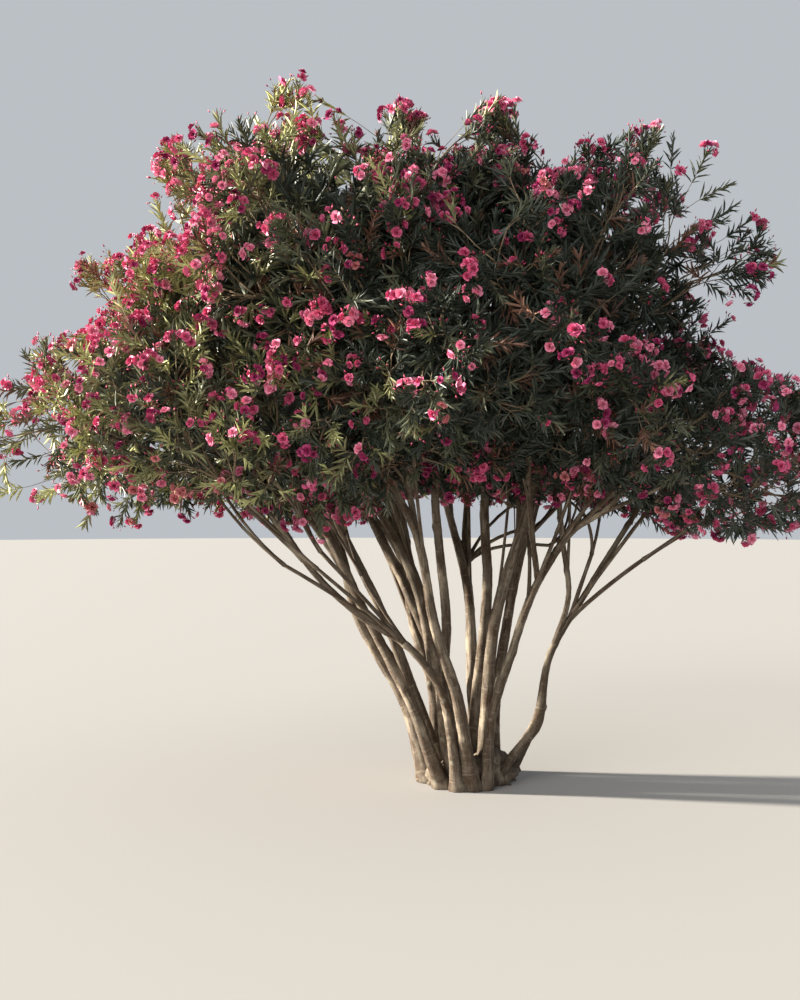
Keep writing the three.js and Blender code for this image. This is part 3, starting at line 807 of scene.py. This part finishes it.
def splitShoots(ends, rng):
    middle = ends.mean(axis=0)
    first = ends[np.linalg.norm(ends - middle, axis=1).argmax()]
    widest = ends[np.linalg.norm(ends - first, axis=1).argmax()] - first
    order = (ends @ widest).argsort()
    half = round(len(ends) / 2 * (1 + twigShape["uneven"] * (2 * rng.random() - 1)))
    cut = min(max(half, 1), len(ends) - 1)
    return ends[order[:cut]], ends[order[cut:]]


# Under the crown's rim a large twig would hang in the open
def hangsOut(end):
    farthest = np.interp(math.hypot(end[0], end[1]), *feed["outside"])
    return end[2] < crownCentre[2] and crownShare(end[None])[0] > farthest


# A twig runs part of the way to the middle of the shoots that it feeds and forks there
def growTwigs(mass, base, way, ends, rng, first=False, failed=0):
    single = len(ends) == 1
    middle = ends.mean(axis=0)
    distance = np.linalg.norm(middle - base)
    longer = twigShape["longer"][0 if single else 1 if len(ends) < 5 else 2]
    tooFar = distance > twigShape["longest"] * longer
    if distance < twigShape["shortest"] or failed > twigShape["giveUp"] or tooFar:
        return
    carry = 1 if first else twigShape["carry"]
    ahead = unit(middle - base) * (1 - carry) + way * carry
    straight = end = middle if single else base + ahead * distance * twigShape["forkAt"]
    large = len(ends) > feed["fewest"]
    while large and hangsOut(straight):
        straight = straight + up * feed["lift"]
    radius = twigRadius(len(ends))
    for tries in range(twigShape["tries"]):
        if not single or tries:
            end = straight + (rng.random(3) - 0.5) * distance * twigShape["stray"] * (tries + 1)
        if mass.fits(base, end, radius) and not (large and hangsOut(end)):
            break
    else:
        if not single:
            for half in splitShoots(ends, rng):
                growTwigs(mass, base, way, half, rng, False, failed + 1)
        return
    length = np.linalg.norm(end - base)
    chord = (end - base) / length
    sag = twigShape["sag"] * length if single else 0
    control = (base + end) / 2 + ((way - chord) * twigShape["bow"] * length - up * sag)
    tip = twigShape["tip"] if single else radius * twigShape["narrows"]
    mass.twigs.append((base, control, end, radius, tip, len(ends)))
    along = unit(end - control)
    if single:
        return
    together = len(ends) <= twigShape["together"]
    for part in np.split(ends, len(ends)) if together else splitShoots(ends, rng):
        growTwigs(mass, end - along * radius * twigShape["forkDepth"], along, part, rng)


# A mass's boughs leave its limb where they can reach their shoots without a sharp turn
def growMass(mass, targets, rng):
    groups = [targets]
    for _ in range(feed["splits"]):
        groups = [
            half
            for group in groups
            for half in (splitShoots(group, rng) if len(group) > feed["fewest"] else (group,))
        ]
    route = mass.limb["route"]
    shares = np.linspace(feed["lowest"], feed["latest"], feed["starts"])
    shares = shares[route(shares)[:, 2] > feed["clearOfGround"]]
    places, tangents = route(shares), tangentOf(route, shares)
    for group in groups:
        ways = unit(group.mean(axis=0) - places)
        angles = np.degrees(np.arccos(np.clip((ways * tangents).sum(1), -1, 1)))
        cost = np.abs(angles - rng.uniform(*feed["angles"]))
        cost = cost + feed["uneven"] * softNoise(places * 5, feed["noiseSeed"] + len(group))
        best = cost.argmin()
        way = unit(ways[best] + feed["along"] * tangents[best])
        growTwigs(mass, places[best], way, group, rng, True)


def growMasses():
    ends, owners = makeShoots()
    grown = []
    for index in range(len(masses)):
        mass = Mass(index)
        growMass(mass, ends[owners == index], np.random.default_rng(feed["seed"] + index))
        grown.append(mass)
    return grown


grownMasses = growMasses()
print(f"growth: {sum(len(mass.twigs) for mass in grownMasses)} twigs")


def bendAt(start, control, end, t):
    t = t[..., None]
    return start * (1 - t) ** 2 + control * 2 * t * (1 - t) + end * t**2


def bendWay(start, control, end, t):
    t = t[..., None]
    return unit((control - start) * (1 - t) + (end - control) * t)


# A ring's piece of many small parts, from arrays of their corners and triangles
def joinedPiece(kind, ringName, corners, triangles, material, slot, smooth=False):
    corners = np.ascontiguousarray(corners, float).reshape(-1, 3)
    triangles = np.ascontiguousarray(triangles, np.int32)
    mesh = bpy.data.meshes.new(f"{kind}_{ringName}")
    mesh.vertices.add(len(corners))
    mesh.vertices.foreach_set("co", corners.ravel())
    mesh.loops.add(triangles.size)
    mesh.loops.foreach_set("vertex_index", triangles.ravel())
    mesh.polygons.add(len(triangles))
    mesh.polygons.foreach_set("loop_start", np.arange(0, triangles.size, 3, dtype=np.int32))
    mesh.update(calc_edges=True)
    if smooth:
        mesh.shade_smooth()
    nodes = [f"foliage_{one['name']}" for one in masses if one["ring"] == ringName]
    return placePiece(mesh, material, nodes)


# Closed tubes along lists of points, all with the same number of points and sides
def tubeArrays(points, radii, sides):
    count, rings = points.shape[:2]
    ways = unit(np.gradient(points, axis=1))
    chord = unit(points[:, -1] - points[:, 0])
    reference = np.where(np.abs(chord[:, 2:3]) > 0.8, [[1.0, 0, 0]], [[0, 0, 1.0]])
    across = unit(np.cross(chord, reference))[:, None]
    across = unit(across - ways * (across * ways).sum(-1, keepdims=True))
    side = np.cross(ways, across)
    angles = np.arange(sides) * 2 * math.pi / sides
    turned = across[:, :, None] * np.cos(angles)[:, None] + side[:, :, None] * np.sin(angles)[:, None]
    corners = points[:, :, None] + turned * radii[:, :, None, None]
    index = np.arange(count * rings * sides).reshape(count, rings, sides)
    a, b = index[:, :-1], index[:, 1:]
    nextA, nextB = np.roll(a, -1, axis=2), np.roll(b, -1, axis=2)
    faces = [np.stack(corner, -1).reshape(-1, 3) for corner in ((a, nextA, b), (nextA, nextB, b))]
    first, last = index[:, 0], index[:, -1]
    for step in range(1, sides - 1):
        faces.append(first[:, [0, step + 1, step]])
        faces.append(last[:, [0, step, step + 1]])
    return corners.reshape(-1, 3), np.concatenate(faces)


def joinArrays(parts):
    corners, triangles, start = [], [], 0
    for points, faces in parts:
        corners.append(points)
        triangles.append(faces + start)
        start += len(points)
    return np.concatenate(corners), np.concatenate(triangles)


def plainMaterial(name, colour, roughness, specular=0.5):
    material = bpy.data.materials.new(name)
    material.use_nodes = True
    shader = material.node_tree.nodes["Principled BSDF"]
    shader.inputs["Base Color"].default_value = (*colour, 1)
    shader.inputs["Roughness"].default_value = roughness
    shader.inputs["Specular IOR Level"].default_value = specular
    return material


twigWood = plainMaterial("twigWood", (0.2, 0.15, 0.095), 0.8, 0.3)
ringNames = [ring["name"] for ring in massRings]


# Starts, controls and ends of a ring's twigs, and their two radii and how many shoots they feed
def twigRows(ringName):
    rows = [row for mass in grownMasses if mass.own["ring"] == ringName for row in mass.twigs]
    return *(np.array([row[i] for row in rows]) for i in range(3)), np.array([row[3:6] for row in rows])


# The first three of its last twigs, which carry one shoot each
def shootRows(ringName):
    *curve, sizes = twigRows(ringName)
    return [points[sizes[:, 2] == 1] for points in curve]


# The thinnest radius of each kind, its sides, the segments of short and long ones, and what is long
twigKinds = {
    "boughs": {"thinnest": 0.0062, "sides": 8, "segments": (3, 7), "long": 0.15, "material": bark},
    "branches": {"thinnest": 0.0036, "sides": 4, "segments": (2, 4), "long": 0.15, "material": twigWood},
    "twigs": {"thinnest": 0, "sides": 3, "segments": (1, 2), "long": 0.05, "material": twigWood},
}
boughKnots = {"size": 0.12, "perMetre": 14, "collar": 0.4, "collarFades": 14, "seed": 33}


def makeTwigPiece(ringName, kindName, thickest):
    kind = twigKinds[kindName]
    start, control, end, sizes = twigRows(ringName)
    lengths = np.linalg.norm(end - start, axis=1)
    ofKind = (sizes[:, 0] >= kind["thinnest"]) & (sizes[:, 0] < thickest)
    parts, places = [], []
    for segments, fits in zip(kind["segments"], (lengths < kind["long"], lengths >= kind["long"])):
        chosen = ofKind & fits
        if not chosen.any():
            continue
        t = np.linspace(0, 1, segments + 1)[None].repeat(chosen.sum(), axis=0)
        points = bendAt(start[chosen][:, None], control[chosen][:, None], end[chosen][:, None], t)
        radii = sizes[chosen][:, :1] * (1 - t) + sizes[chosen][:, 1:2] * t
        if kindName == "boughs":
            knots = 2 * softNoise(points * boughKnots["perMetre"], boughKnots["seed"]) - 1
            collar = boughKnots["collar"] * radii * np.exp(-t * boughKnots["collarFades"])
            radii = radii * (1 + boughKnots["size"] * knots) + collar
        parts.append(tubeArrays(points, radii, kind["sides"]))
        angles = np.arange(kind["sides"]) * 2 * math.pi / kind["sides"]
        place = np.empty((*t.shape, len(angles), 3))
        place[..., 0] = np.cos(angles) * barkRelief["mapWidth"]
        place[..., 1] = np.sin(angles) * barkRelief["mapWidth"]
        place[..., 2] = (t * lengths[chosen][:, None] + start[chosen].sum(1)[:, None])[..., None]
        places.append(place.reshape(-1, 3))
    if not parts:
        return 0
    corners, triangles = joinArrays(parts)
    piece = joinedPiece(kindName, ringName, corners, triangles, kind["material"], "bark", True)
    barkMap = piece.data.attributes.new("barkMap", "FLOAT_VECTOR", "POINT")
    barkMap.data.foreach_set("vector", np.concatenate(places).ravel())
    return len(triangles)


thickest = math.inf
for kindName, kind in twigKinds.items():
    count = sum(makeTwigPiece(name, kindName, thickest) for name in ringNames)
    thickest = kind["thinnest"]
    print(f"{kindName}: {count} triangles")

# Leaves, in whorls of three down each shoot

leafShape = {
    "length": 0.07,
    "width": 0.0106,
    "folds": ((0.3, 0.02), (0.5, 0.05), (0.2, 0.08), (0.62, 0)),  # how far each kind folds and curls
    "inner": 1.65,  # how much larger the leaves in the depth of the crown are
    "depth": (0.8, 0.08),  # share of the reach under which they get larger, and over how much of it
    "uneven": 0.32,
    "youngSize": 0.62,  # of the leaves at a shoot's tip, which aren't full grown
    "growsOver": 0.09,
    "firstGap": 0.005,
    "gap": 0.0225,
    "gapJitter": 0.35,
    "whorls": 7,
    "innerWhorls": 4,
    "inside": 0.77,  # share of the crown's reach under which a shoot has only its inner whorls
    "reach": 0.19,  # how far down a shoot its leaves go
    "bare": 0.92,  # share of a shoot's length past which it has none
    "curved": 1.03,  # how much longer a shoot is taken than it is straight
    "turn": 2.1,  # a whorl of three comes round to itself after this, in radians
    "turnJitter": (0.12, 0.1),  # of a whorl and of each of its leaves
    "closest": 18,  # degrees from the shoot at its tip
    "widest": 58,
    "leanJitter": 11,
    "droop": 0.25,
    "lift": 0.3,  # of the leaves at the crown's top
    "highest": 1.03,  # share of the crown's reach that no leaf's tip passes
    "lowest": 1.27,  # above the ground
    "roughness": 0.42,
    "seed": 71,
}
# deep, mid, olive and young run from painted shade to painted sunlight and are dealt by place below, over
# the leaves' own varied tone; russet is dry leaves
leafColours = {
    "deep": (0.043, 0.056, 0.04),
    "mid": (0.1, 0.112, 0.066),
    "olive": (0.25, 0.255, 0.12),
    "young": (0.46, 0.47, 0.21),
    "russet": (0.17, 0.085, 0.055),
}
# Painted light on the leaves: paler colours as painted sunlight at the crown's outside, its sunny left and
# its top, darker ones as painted shade in the depth, at the right and at the bottom; patches and jitter add
# tone that differs at random
leafTintsAndPaintedLight = {
    "steps": (0.05, 0.45, 0.85),
    "outside": 0.45,
    "left": 0.95,
    "top": 0.35,
    "patches": 0.8,
    "jitter": 0.38,
    "russetShare": 0.055,
    "seed": 81,
}
# A leaf's corners, across and along in shares of its width and length. Each half is two faces that fold
# up from the midrib.
leafOutline = np.array([[0, 0], [0.47, 0.27], [0.4, 0.66], [0, 1], [-0.4, 0.66], [-0.47, 0.27]])
leafFaces = np.array([[0, 1, 2], [0, 2, 3], [0, 3, 4], [0, 4, 5]])
leafMaterials = {
    name: plainMaterial(f"leaf{name.title()}", colour, leafShape["roughness"])
    for name, colour in leafColours.items()
}


def leafTemplates():
    made = []
    for fold, curl in leafShape["folds"]:
        rise = np.abs(leafOutline[:, 0]) * fold * 2 * leafShape["width"] / leafShape["length"]
        arch = curl * 4 * leafOutline[:, 1] * (1 - leafOutline[:, 1])
        made.append(np.column_stack([leafOutline, rise + arch]))
    return np.array(made)


# The corners and faces of copies of templates, each by its kind, base, axis, normal, length and width
def placeTemplates(templates, faces, kinds, bases, axes, normals, lengths, widths):
    acrosses = np.cross(axes, normals)
    shapes = templates[kinds]
    corners = bases[:, None] + acrosses[:, None] * (shapes[:, :, :1] * widths[:, None, None])
    corners += axes[:, None] * (shapes[:, :, 1:2] * lengths[:, None, None])
    corners += normals[:, None] * (shapes[:, :, 2:] * lengths[:, None, None])
    starts = templates.shape[1] * np.arange(len(bases))[:, None, None]
    return corners, (faces + starts).reshape(-1, 3)


# Ways square to others, on the side that each turn gives
def sideOf(ways, turns):
    reference = np.where(np.abs(ways[..., 2:3]) > 0.85, [1.0, 0, 0], [0, 0, 1.0])
    across = unit(np.cross(ways, reference))
    return across * np.cos(turns)[..., None] + np.cross(ways, across) * np.sin(turns)[..., None]


def leanOut(ways, turns, leans):
    return ways * np.cos(leans)[..., None] + sideOf(ways, turns) * np.sin(leans)[..., None]


def tintWithPaintedLightOf(ends, rng):
    ways = unit(ends - crownCentre)
    # painted light: paler towards the crown's outside, its left and its top, where the sun falls, and
    # darker, as painted shade, away from them
    light = leafTintsAndPaintedLight["outside"] * (crownShare(ends) - 0.8) / 0.18 - 0.2
    light = light - leafTintsAndPaintedLight["left"] * ways[:, 0] + leafTintsAndPaintedLight["top"] * ways[:, 2]
    patches = leafTintsAndPaintedLight["patches"] * (softNoise(ends * 2.6 + 3, leafTintsAndPaintedLight["seed"]) - 0.5)
    light += patches + rng.normal(0, leafTintsAndPaintedLight["jitter"], len(ends))
    tints = np.digitize(light, leafTintsAndPaintedLight["steps"])
    russet = rng.random(len(ends)) < leafTintsAndPaintedLight["russetShare"]
    return np.where(russet, len(leafColours) - 1, tints)


# The base, axis, normal, size and tint of each of a ring's leaves
def leafRows(ringName, rng):
    start, control, end = shootRows(ringName)
    tints = tintWithPaintedLightOf(end, rng)
    length = np.linalg.norm(end - start, axis=1)[:, None] * leafShape["curved"]
    order = np.arange(leafShape["whorls"])
    shape = len(end), len(order)
    gaps = order + rng.uniform(-leafShape["gapJitter"], leafShape["gapJitter"], shape)
    back = np.maximum(leafShape["firstGap"] + leafShape["gap"] * gaps, 0.001)
    kept = (back < length * leafShape["bare"]) & (back < leafShape["reach"])
    kept &= (order < leafShape["innerWhorls"]) | (crownShare(end) > leafShape["inside"])[:, None]
    t = 1 - back / length
    curve = start[:, None], control[:, None], end[:, None]
    places, ways = bendAt(*curve, t)[:, :, None], bendWay(*curve, np.clip(t, 0, 1))[:, :, None]
    whorlJitter, jitter = leafShape["turnJitter"]
    turn = rng.uniform(0, leafShape["turn"], (len(end), 1)) + order * math.pi / 3
    turn = (turn + rng.normal(0, whorlJitter, shape))[..., None] + np.arange(3) * 2 * math.pi / 3
    turn = turn + rng.normal(0, jitter, (*shape, 3))
    opening = (leafShape["widest"] - leafShape["closest"]) * (back / leafShape["reach"]) ** 0.7
    lean = (leafShape["closest"] + opening)[..., None] + rng.normal(0, leafShape["leanJitter"], turn.shape)
    axis = leanOut(ways, turn, np.radians(lean))
    lift = leafShape["lift"] * np.clip(unit(end - crownCentre)[:, 2], 0, 1)[:, None, None]
    axis = unit(axis + up * (lift - leafShape["droop"] * rng.random(turn.shape))[..., None])
    normal = unit(ways - axis * (ways * axis).sum(-1, keepdims=True))
    size = 1 + leafShape["uneven"] * rng.uniform(-1, 1, turn.shape)
    young = leafShape["youngSize"]
    size *= np.clip(young + back / leafShape["growsOver"], young, 1)[..., None]
    deepest, fade = leafShape["depth"]
    size *= 1 + (leafShape["inner"] - 1) * np.clip((deepest - crownShare(end)) / fade, 0, 1)[:, None, None]
    base = np.broadcast_to(places, axis.shape)
    tip = base + axis * (leafShape["length"] * size)[..., None]
    highest = leafShape["highest"] + hangingShare(unit(tip - crownCentre))
    chosen = kept[..., None] & (crownShare(tip) < highest) & insideBox(tip)
    chosen &= tip[..., 2] > leafShape["lowest"]
    tints = np.broadcast_to(tints[:, None, None], turn.shape)
    return [each[chosen] for each in (base, axis, normal, size, tints)]


def makeLeaves():
    rng = np.random.default_rng(leafShape["seed"])
    templates = leafTemplates()
    count = 0
    for ringName in ringNames:
        *rows, tints = leafRows(ringName, rng)
        kinds = rng.integers(0, len(templates), len(tints))
        for tint, (name, material) in enumerate(leafMaterials.items()):
            base, axis, normal, size = (each[tints == tint] for each in rows)
            lengths, widths = leafShape["length"] * size, leafShape["width"] * (0.45 + 0.55 * size)
            placing = kinds[tints == tint], base, axis, normal, lengths, widths
            leaves = placeTemplates(templates, leafFaces, *placing)
            joinedPiece(f"leaves_{name}", ringName, *leaves, material, "foliage")
        count += len(tints)
    return count


print(f"leaves: {makeLeaves()}")

# Blossom: clusters of double blooms and buds at the shoots' tips

bloomShape = {
    "radius": 0.0245,
    "uneven": 0.25,
    "most": 4,
    "kinds": 3,
    "standOff": 0.01,
    "spread": 0.036,
    "turnStep": 2.4,
    "widest": 1.35,  # lean in a cluster, in radians
    "clusterShare": 0.62,
    "patchiness": (0.55, 1.2),
    "shallowest": 0.74,
    "outward": 0.7,
    "colourShares": (0.42, 0.34, 0.16, 0.08),
    "strays": 0.3,  # share of the blooms that aren't in their cluster's colour
    "buds": 4,
    "budLength": 0.02,
    "budLift": 0.3,
    "stalk": 0.0013,
    "stalkEnd": 0.004,  # how far under its bloom or bud a stalk stops
    "seed": 91,
}
bloomColours = {
    "rose": (0.64, 0.11, 0.24),
    "bright": (0.82, 0.28, 0.42),
    "deep": (0.38, 0.035, 0.14),
    "faded": (0.56, 0.19, 0.2),
}
budColour = (0.33, 0.02, 0.07)
# Where the plant flowers more or less than on the whole: a way from the crown's centre, its width and by
# how much
bloomPatches = [
    ((-0.75, -0.65, -0.05), 0.45, 1.0),
    ((0.42, -0.87, 0.25), 0.45, -0.58),
    ((0.6, -0.8, -0.08), 0.3, -0.35),
    ((0, -0.9, -0.42), 0.48, -0.78),
    ((0.68, -0.66, -0.32), 0.28, 0.7),
]
# A petal's corners, across and along, and its faces
outerPetal = [[0, 0.05], [0.34, 0.5], [0.48, 0.84], [0, 1.0], [-0.48, 0.84], [-0.34, 0.5], [0, 0.62]]
outerFaces = [[6, step, (step + 1) % 6] for step in range(6)]
middlePetal = [[0, 0.05], [0.5, 0.66], [0.08, 1.0], [-0.5, 0.72]]
innerPetal = [[0, 0.05], [0.48, 0.72], [-0.1, 1.0], [-0.5, 0.7]]
innerFaces = [[0, 1, 2], [0, 2, 3]]
# Tiers of petals, from the outside in: length, width, lift in degrees, height in the bloom and the petal
petalTiers = [
    (1.0, 1.05, 16, 0.0, outerPetal, outerFaces),
    (0.88, 1.05, 45, 0.08, middlePetal, innerFaces),
    (0.68, 0.95, 71, 0.16, innerPetal, innerFaces),
]
petalShape = {"count": 5, "turnJitter": 0.13, "liftJitter": 8, "lengthJitter": 0.07, "curve": 0.3}
# Spent flower heads: a fan of thin brown pods at some of the shoots without blossom
spentHeads = {"share": 0.12, "shallowest": 0.82, "pods": 7, "fan": 1.3, "length": 0.03}
spentColour = (0.12, 0.05, 0.038)
# A bud or a pod is a three-sided spindle
budTemplate = np.array([[0, 0, 0], [0.21, 0.4, 0], [-0.105, 0.4, 0.18], [-0.105, 0.4, -0.18], [0, 1, 0]])
budFaces = np.array([[0, 1, 2], [0, 2, 3], [0, 3, 1], [4, 2, 1], [4, 3, 2], [4, 1, 3]])
bloomMaterials = {
    name: plainMaterial(f"bloom{name.title()}", colour, 0.55) for name, colour in bloomColours.items()
}
budMaterial = plainMaterial("bloomBud", budColour, 0.5)
spentMaterial = plainMaterial("spentHead", spentColour, 0.75, 0.3)
stalkMaterial = plainMaterial("bloomStalk", (0.11, 0.13, 0.04), 0.6)


def bloomTemplates(rng):
    templates = []
    curve = petalShape["curve"]
    for _ in range(bloomShape["kinds"]):
        petals = []
        for tier, (length, width, lift, rise, outline, faces) in enumerate(petalTiers):
            across, along = np.array(outline, float).T
            for index in range(petalShape["count"]):
                turn = (index + 0.5 * tier) * 2 * math.pi / petalShape["count"]
                turn += rng.normal(0, petalShape["turnJitter"])
                lean = math.radians(lift + rng.normal(0, petalShape["liftJitter"]))
                out = along * length * (1 + rng.normal(0, petalShape["lengthJitter"]))
                bow = curve * (along - 0.35) ** 2 - curve * np.abs(across) ** 2
                radial = out * math.cos(lean) - bow * math.sin(lean)
                height = rise + out * math.sin(lean) + bow * math.cos(lean)
                x = radial * math.cos(turn) - across * width * math.sin(turn)
                y = radial * math.sin(turn) + across * width * math.cos(turn)
                petals.append((np.column_stack([x, y, height]), np.array(faces)))
        corners, bloomFaces = joinArrays(petals)
        templates.append(corners)
    return np.array(templates), bloomFaces


def makeSpindles(kind, ringName, bases, ways, lengths, material):
    kinds = np.zeros(len(bases), int)
    normals = sideOf(ways, kinds)
    spindles = placeTemplates(budTemplate[None], budFaces, kinds, bases, ways, normals, lengths, lengths)
    joinedPiece(kind, ringName, *spindles, material, "blossom", True)


def makeSpentHeads(ringName, ends, ways, rng):
    ends, ways = (np.repeat(each, spentHeads["pods"], axis=0) for each in (ends, ways))
    sides = sideOf(ways, rng.uniform(0, nearlyRound, len(ways)))
    fan = spentHeads["fan"] * rng.uniform(0.1, 1, len(ways))[:, None]
    ways = unit(ways + sides * fan)
    lengths = spentHeads["length"] * rng.uniform(0.6, 1.3, len(ways))
    held = insideBox(ends + ways * lengths[:, None])
    makeSpindles("spent", ringName, ends[held], ways[held], lengths[held], spentMaterial)


# How likely a shoot is to carry a cluster
def bloomChance(ends, outward, shares):
    least, patches = bloomShape["patchiness"]
    chance = bloomShape["clusterShare"] * np.clip((shares - bloomShape["shallowest"]) / 0.05, 0, 1)
    chance *= np.clip(least + patches * softNoise(ends * 2.3 + 9, bloomShape["seed"] + 2) ** 1.5, 0.3, 2)
    chance *= np.clip(1.1 + 0.7 * outward[:, 2], 0.8, 1.1)
    for way, width, more in bloomPatches:
        apart = ((outward - unit(np.array(way, float))) ** 2).sum(1)
        chance *= 1 + more * np.exp(-apart / width**2)
    return chance


# The blooms, stalks and buds of the clusters at these points
def makeClusters(ringName, end, way, rng, templates, bloomFaces):
    most, buds = bloomShape["most"], bloomShape["buds"]
    shape = len(end), most + buds
    blooms = rng.integers(0, most + 1, len(end))
    colours = rng.choice(len(bloomColours), len(end), p=bloomShape["colourShares"])
    order = np.arange(most + buds)
    turn = rng.uniform(0, nearlyRound, (len(end), 1)) + order * bloomShape["turnStep"]
    tilt = np.sqrt((order + 0.5) / len(order)) * bloomShape["widest"] + rng.normal(0, 0.12, shape)
    facing = leanOut(way[:, None], turn, tilt)
    reach = bloomShape["spread"] * rng.uniform(0.75, 1.2, shape)
    place = end[:, None] + facing * reach[..., None] + way[:, None] * bloomShape["standOff"]
    rank = rng.permuted(np.broadcast_to(order, shape), axis=1)
    held = insideBox(place)
    isBloom = (rank < blooms[:, None]) & held
    isBud = (rank >= most) & ~isBloom & held
    strays = rng.random(shape) < bloomShape["strays"]
    colours = np.where(strays, rng.integers(0, 3, shape), colours[:, None])
    for index, (name, material) in enumerate(bloomMaterials.items()):
        mine = isBloom & (colours == index)
        base, normal = place[mine], facing[mine]
        if not len(base):
            continue
        axis = sideOf(normal, rng.uniform(0, nearlyRound, len(base)))
        radius = bloomShape["radius"] * (1 + bloomShape["uneven"] * rng.uniform(-1, 1, len(base)))
        kinds = rng.integers(0, len(templates), len(base))
        made = placeTemplates(templates, bloomFaces, kinds, base, axis, normal, radius, radius)
        joinedPiece(f"blossom_{name}", ringName, *made, material, "blossom")
    stalked = isBloom | isBud
    foot = np.broadcast_to(end[:, None], place.shape)[stalked]
    head = place[stalked] - facing[stalked] * bloomShape["stalkEnd"]
    stalks = tubeArrays(np.stack([foot, head], axis=1), np.full((len(head), 2), bloomShape["stalk"]), 3)
    joinedPiece("stalks", ringName, *stalks, stalkMaterial, "foliage")
    budSize = bloomShape["budLength"] * rng.uniform(0.7, 1.3, isBud.sum())
    budWay = unit(facing[isBud] + up * bloomShape["budLift"])
    makeSpindles("buds", ringName, place[isBud], budWay, budSize, budMaterial)
    return isBloom.sum()


def makeBlossom():
    rng = np.random.default_rng(bloomShape["seed"])
    templates = bloomTemplates(rng)
    count = 0
    for ringName in ringNames:
        _, control, end = shootRows(ringName)
        way, outward = unit(end - control), unit(end - crownCentre)
        shares = crownShare(end) - hangingShare(outward)
        chosen = rng.random(len(end)) < bloomChance(end, outward, shares)
        spent = ~chosen & (shares > spentHeads["shallowest"]) & (rng.random(len(end)) < spentHeads["share"])
        makeSpentHeads(ringName, end[spent], way[spent], rng)
        way = unit(way[chosen] + bloomShape["outward"] * outward[chosen])
        count += makeClusters(ringName, end[chosen], way, rng, *templates)
    return count


print(f"blossom: {makeBlossom()} blooms")

# Studio

studio = {
    "floor": (0.4, 0.387, 0.37),
    "floorRadius": 45,
    "sky": (0.86, 0.91, 0.97),
    "skyStrength": 0.58,
    "lens": 45.83,
}
# Each lamp's strength, the way towards it, its angle in degrees and its colour
lamps = {
    "keyLight": (16, (-0.9, 0.12, 0.235), 4, (1, 0.93, 0.82)),
    "fillLight": (1.5, (-0.62, -0.74, 0.42), 40, (1, 0.96, 0.9)),
}


def makeStudio():
    scene = bpy.context.scene
    bm = bmesh.new()
    bmesh.ops.create_circle(bm, cap_ends=True, segments=96, radius=studio["floorRadius"])
    bmesh.ops.translate(bm, verts=bm.verts, vec=(0, 0, -0.001))
    floor = bpy.data.objects.new("studioFloor", meshFrom("studioFloor", bm))
    scene.collection.objects.link(floor)
    floor.data.materials.append(plainMaterial("studioPale", studio["floor"], 0.9, 0.2))
    scene.view_settings.view_transform = "Standard"
    world = bpy.data.worlds.new("studioSky")
    scene.world = world
    world.use_nodes = True
    background = world.node_tree.nodes["Background"]
    background.inputs["Color"].default_value = (*studio["sky"], 1)
    background.inputs["Strength"].default_value = studio["skyStrength"]
    for name, (strength, way, angle, colour) in lamps.items():
        light = bpy.data.lights.new(name, "SUN")
        light.energy, light.angle, light.color = strength, math.radians(angle), colour
        lamp = bpy.data.objects.new(name, light)
        lamp.rotation_euler = Vector(way).to_track_quat("Z", "Y").to_euler()
        scene.collection.objects.link(lamp)
    camera = bpy.data.objects.new("frontView", bpy.data.cameras.new("frontView"))
    camera.data.lens = studio["lens"]
    camera.location = viewPoint
    camera.rotation_euler = (math.radians(90), 0, 0)
    scene.collection.objects.link(camera)
    scene.camera = camera


makeStudio()
print("studio: made")
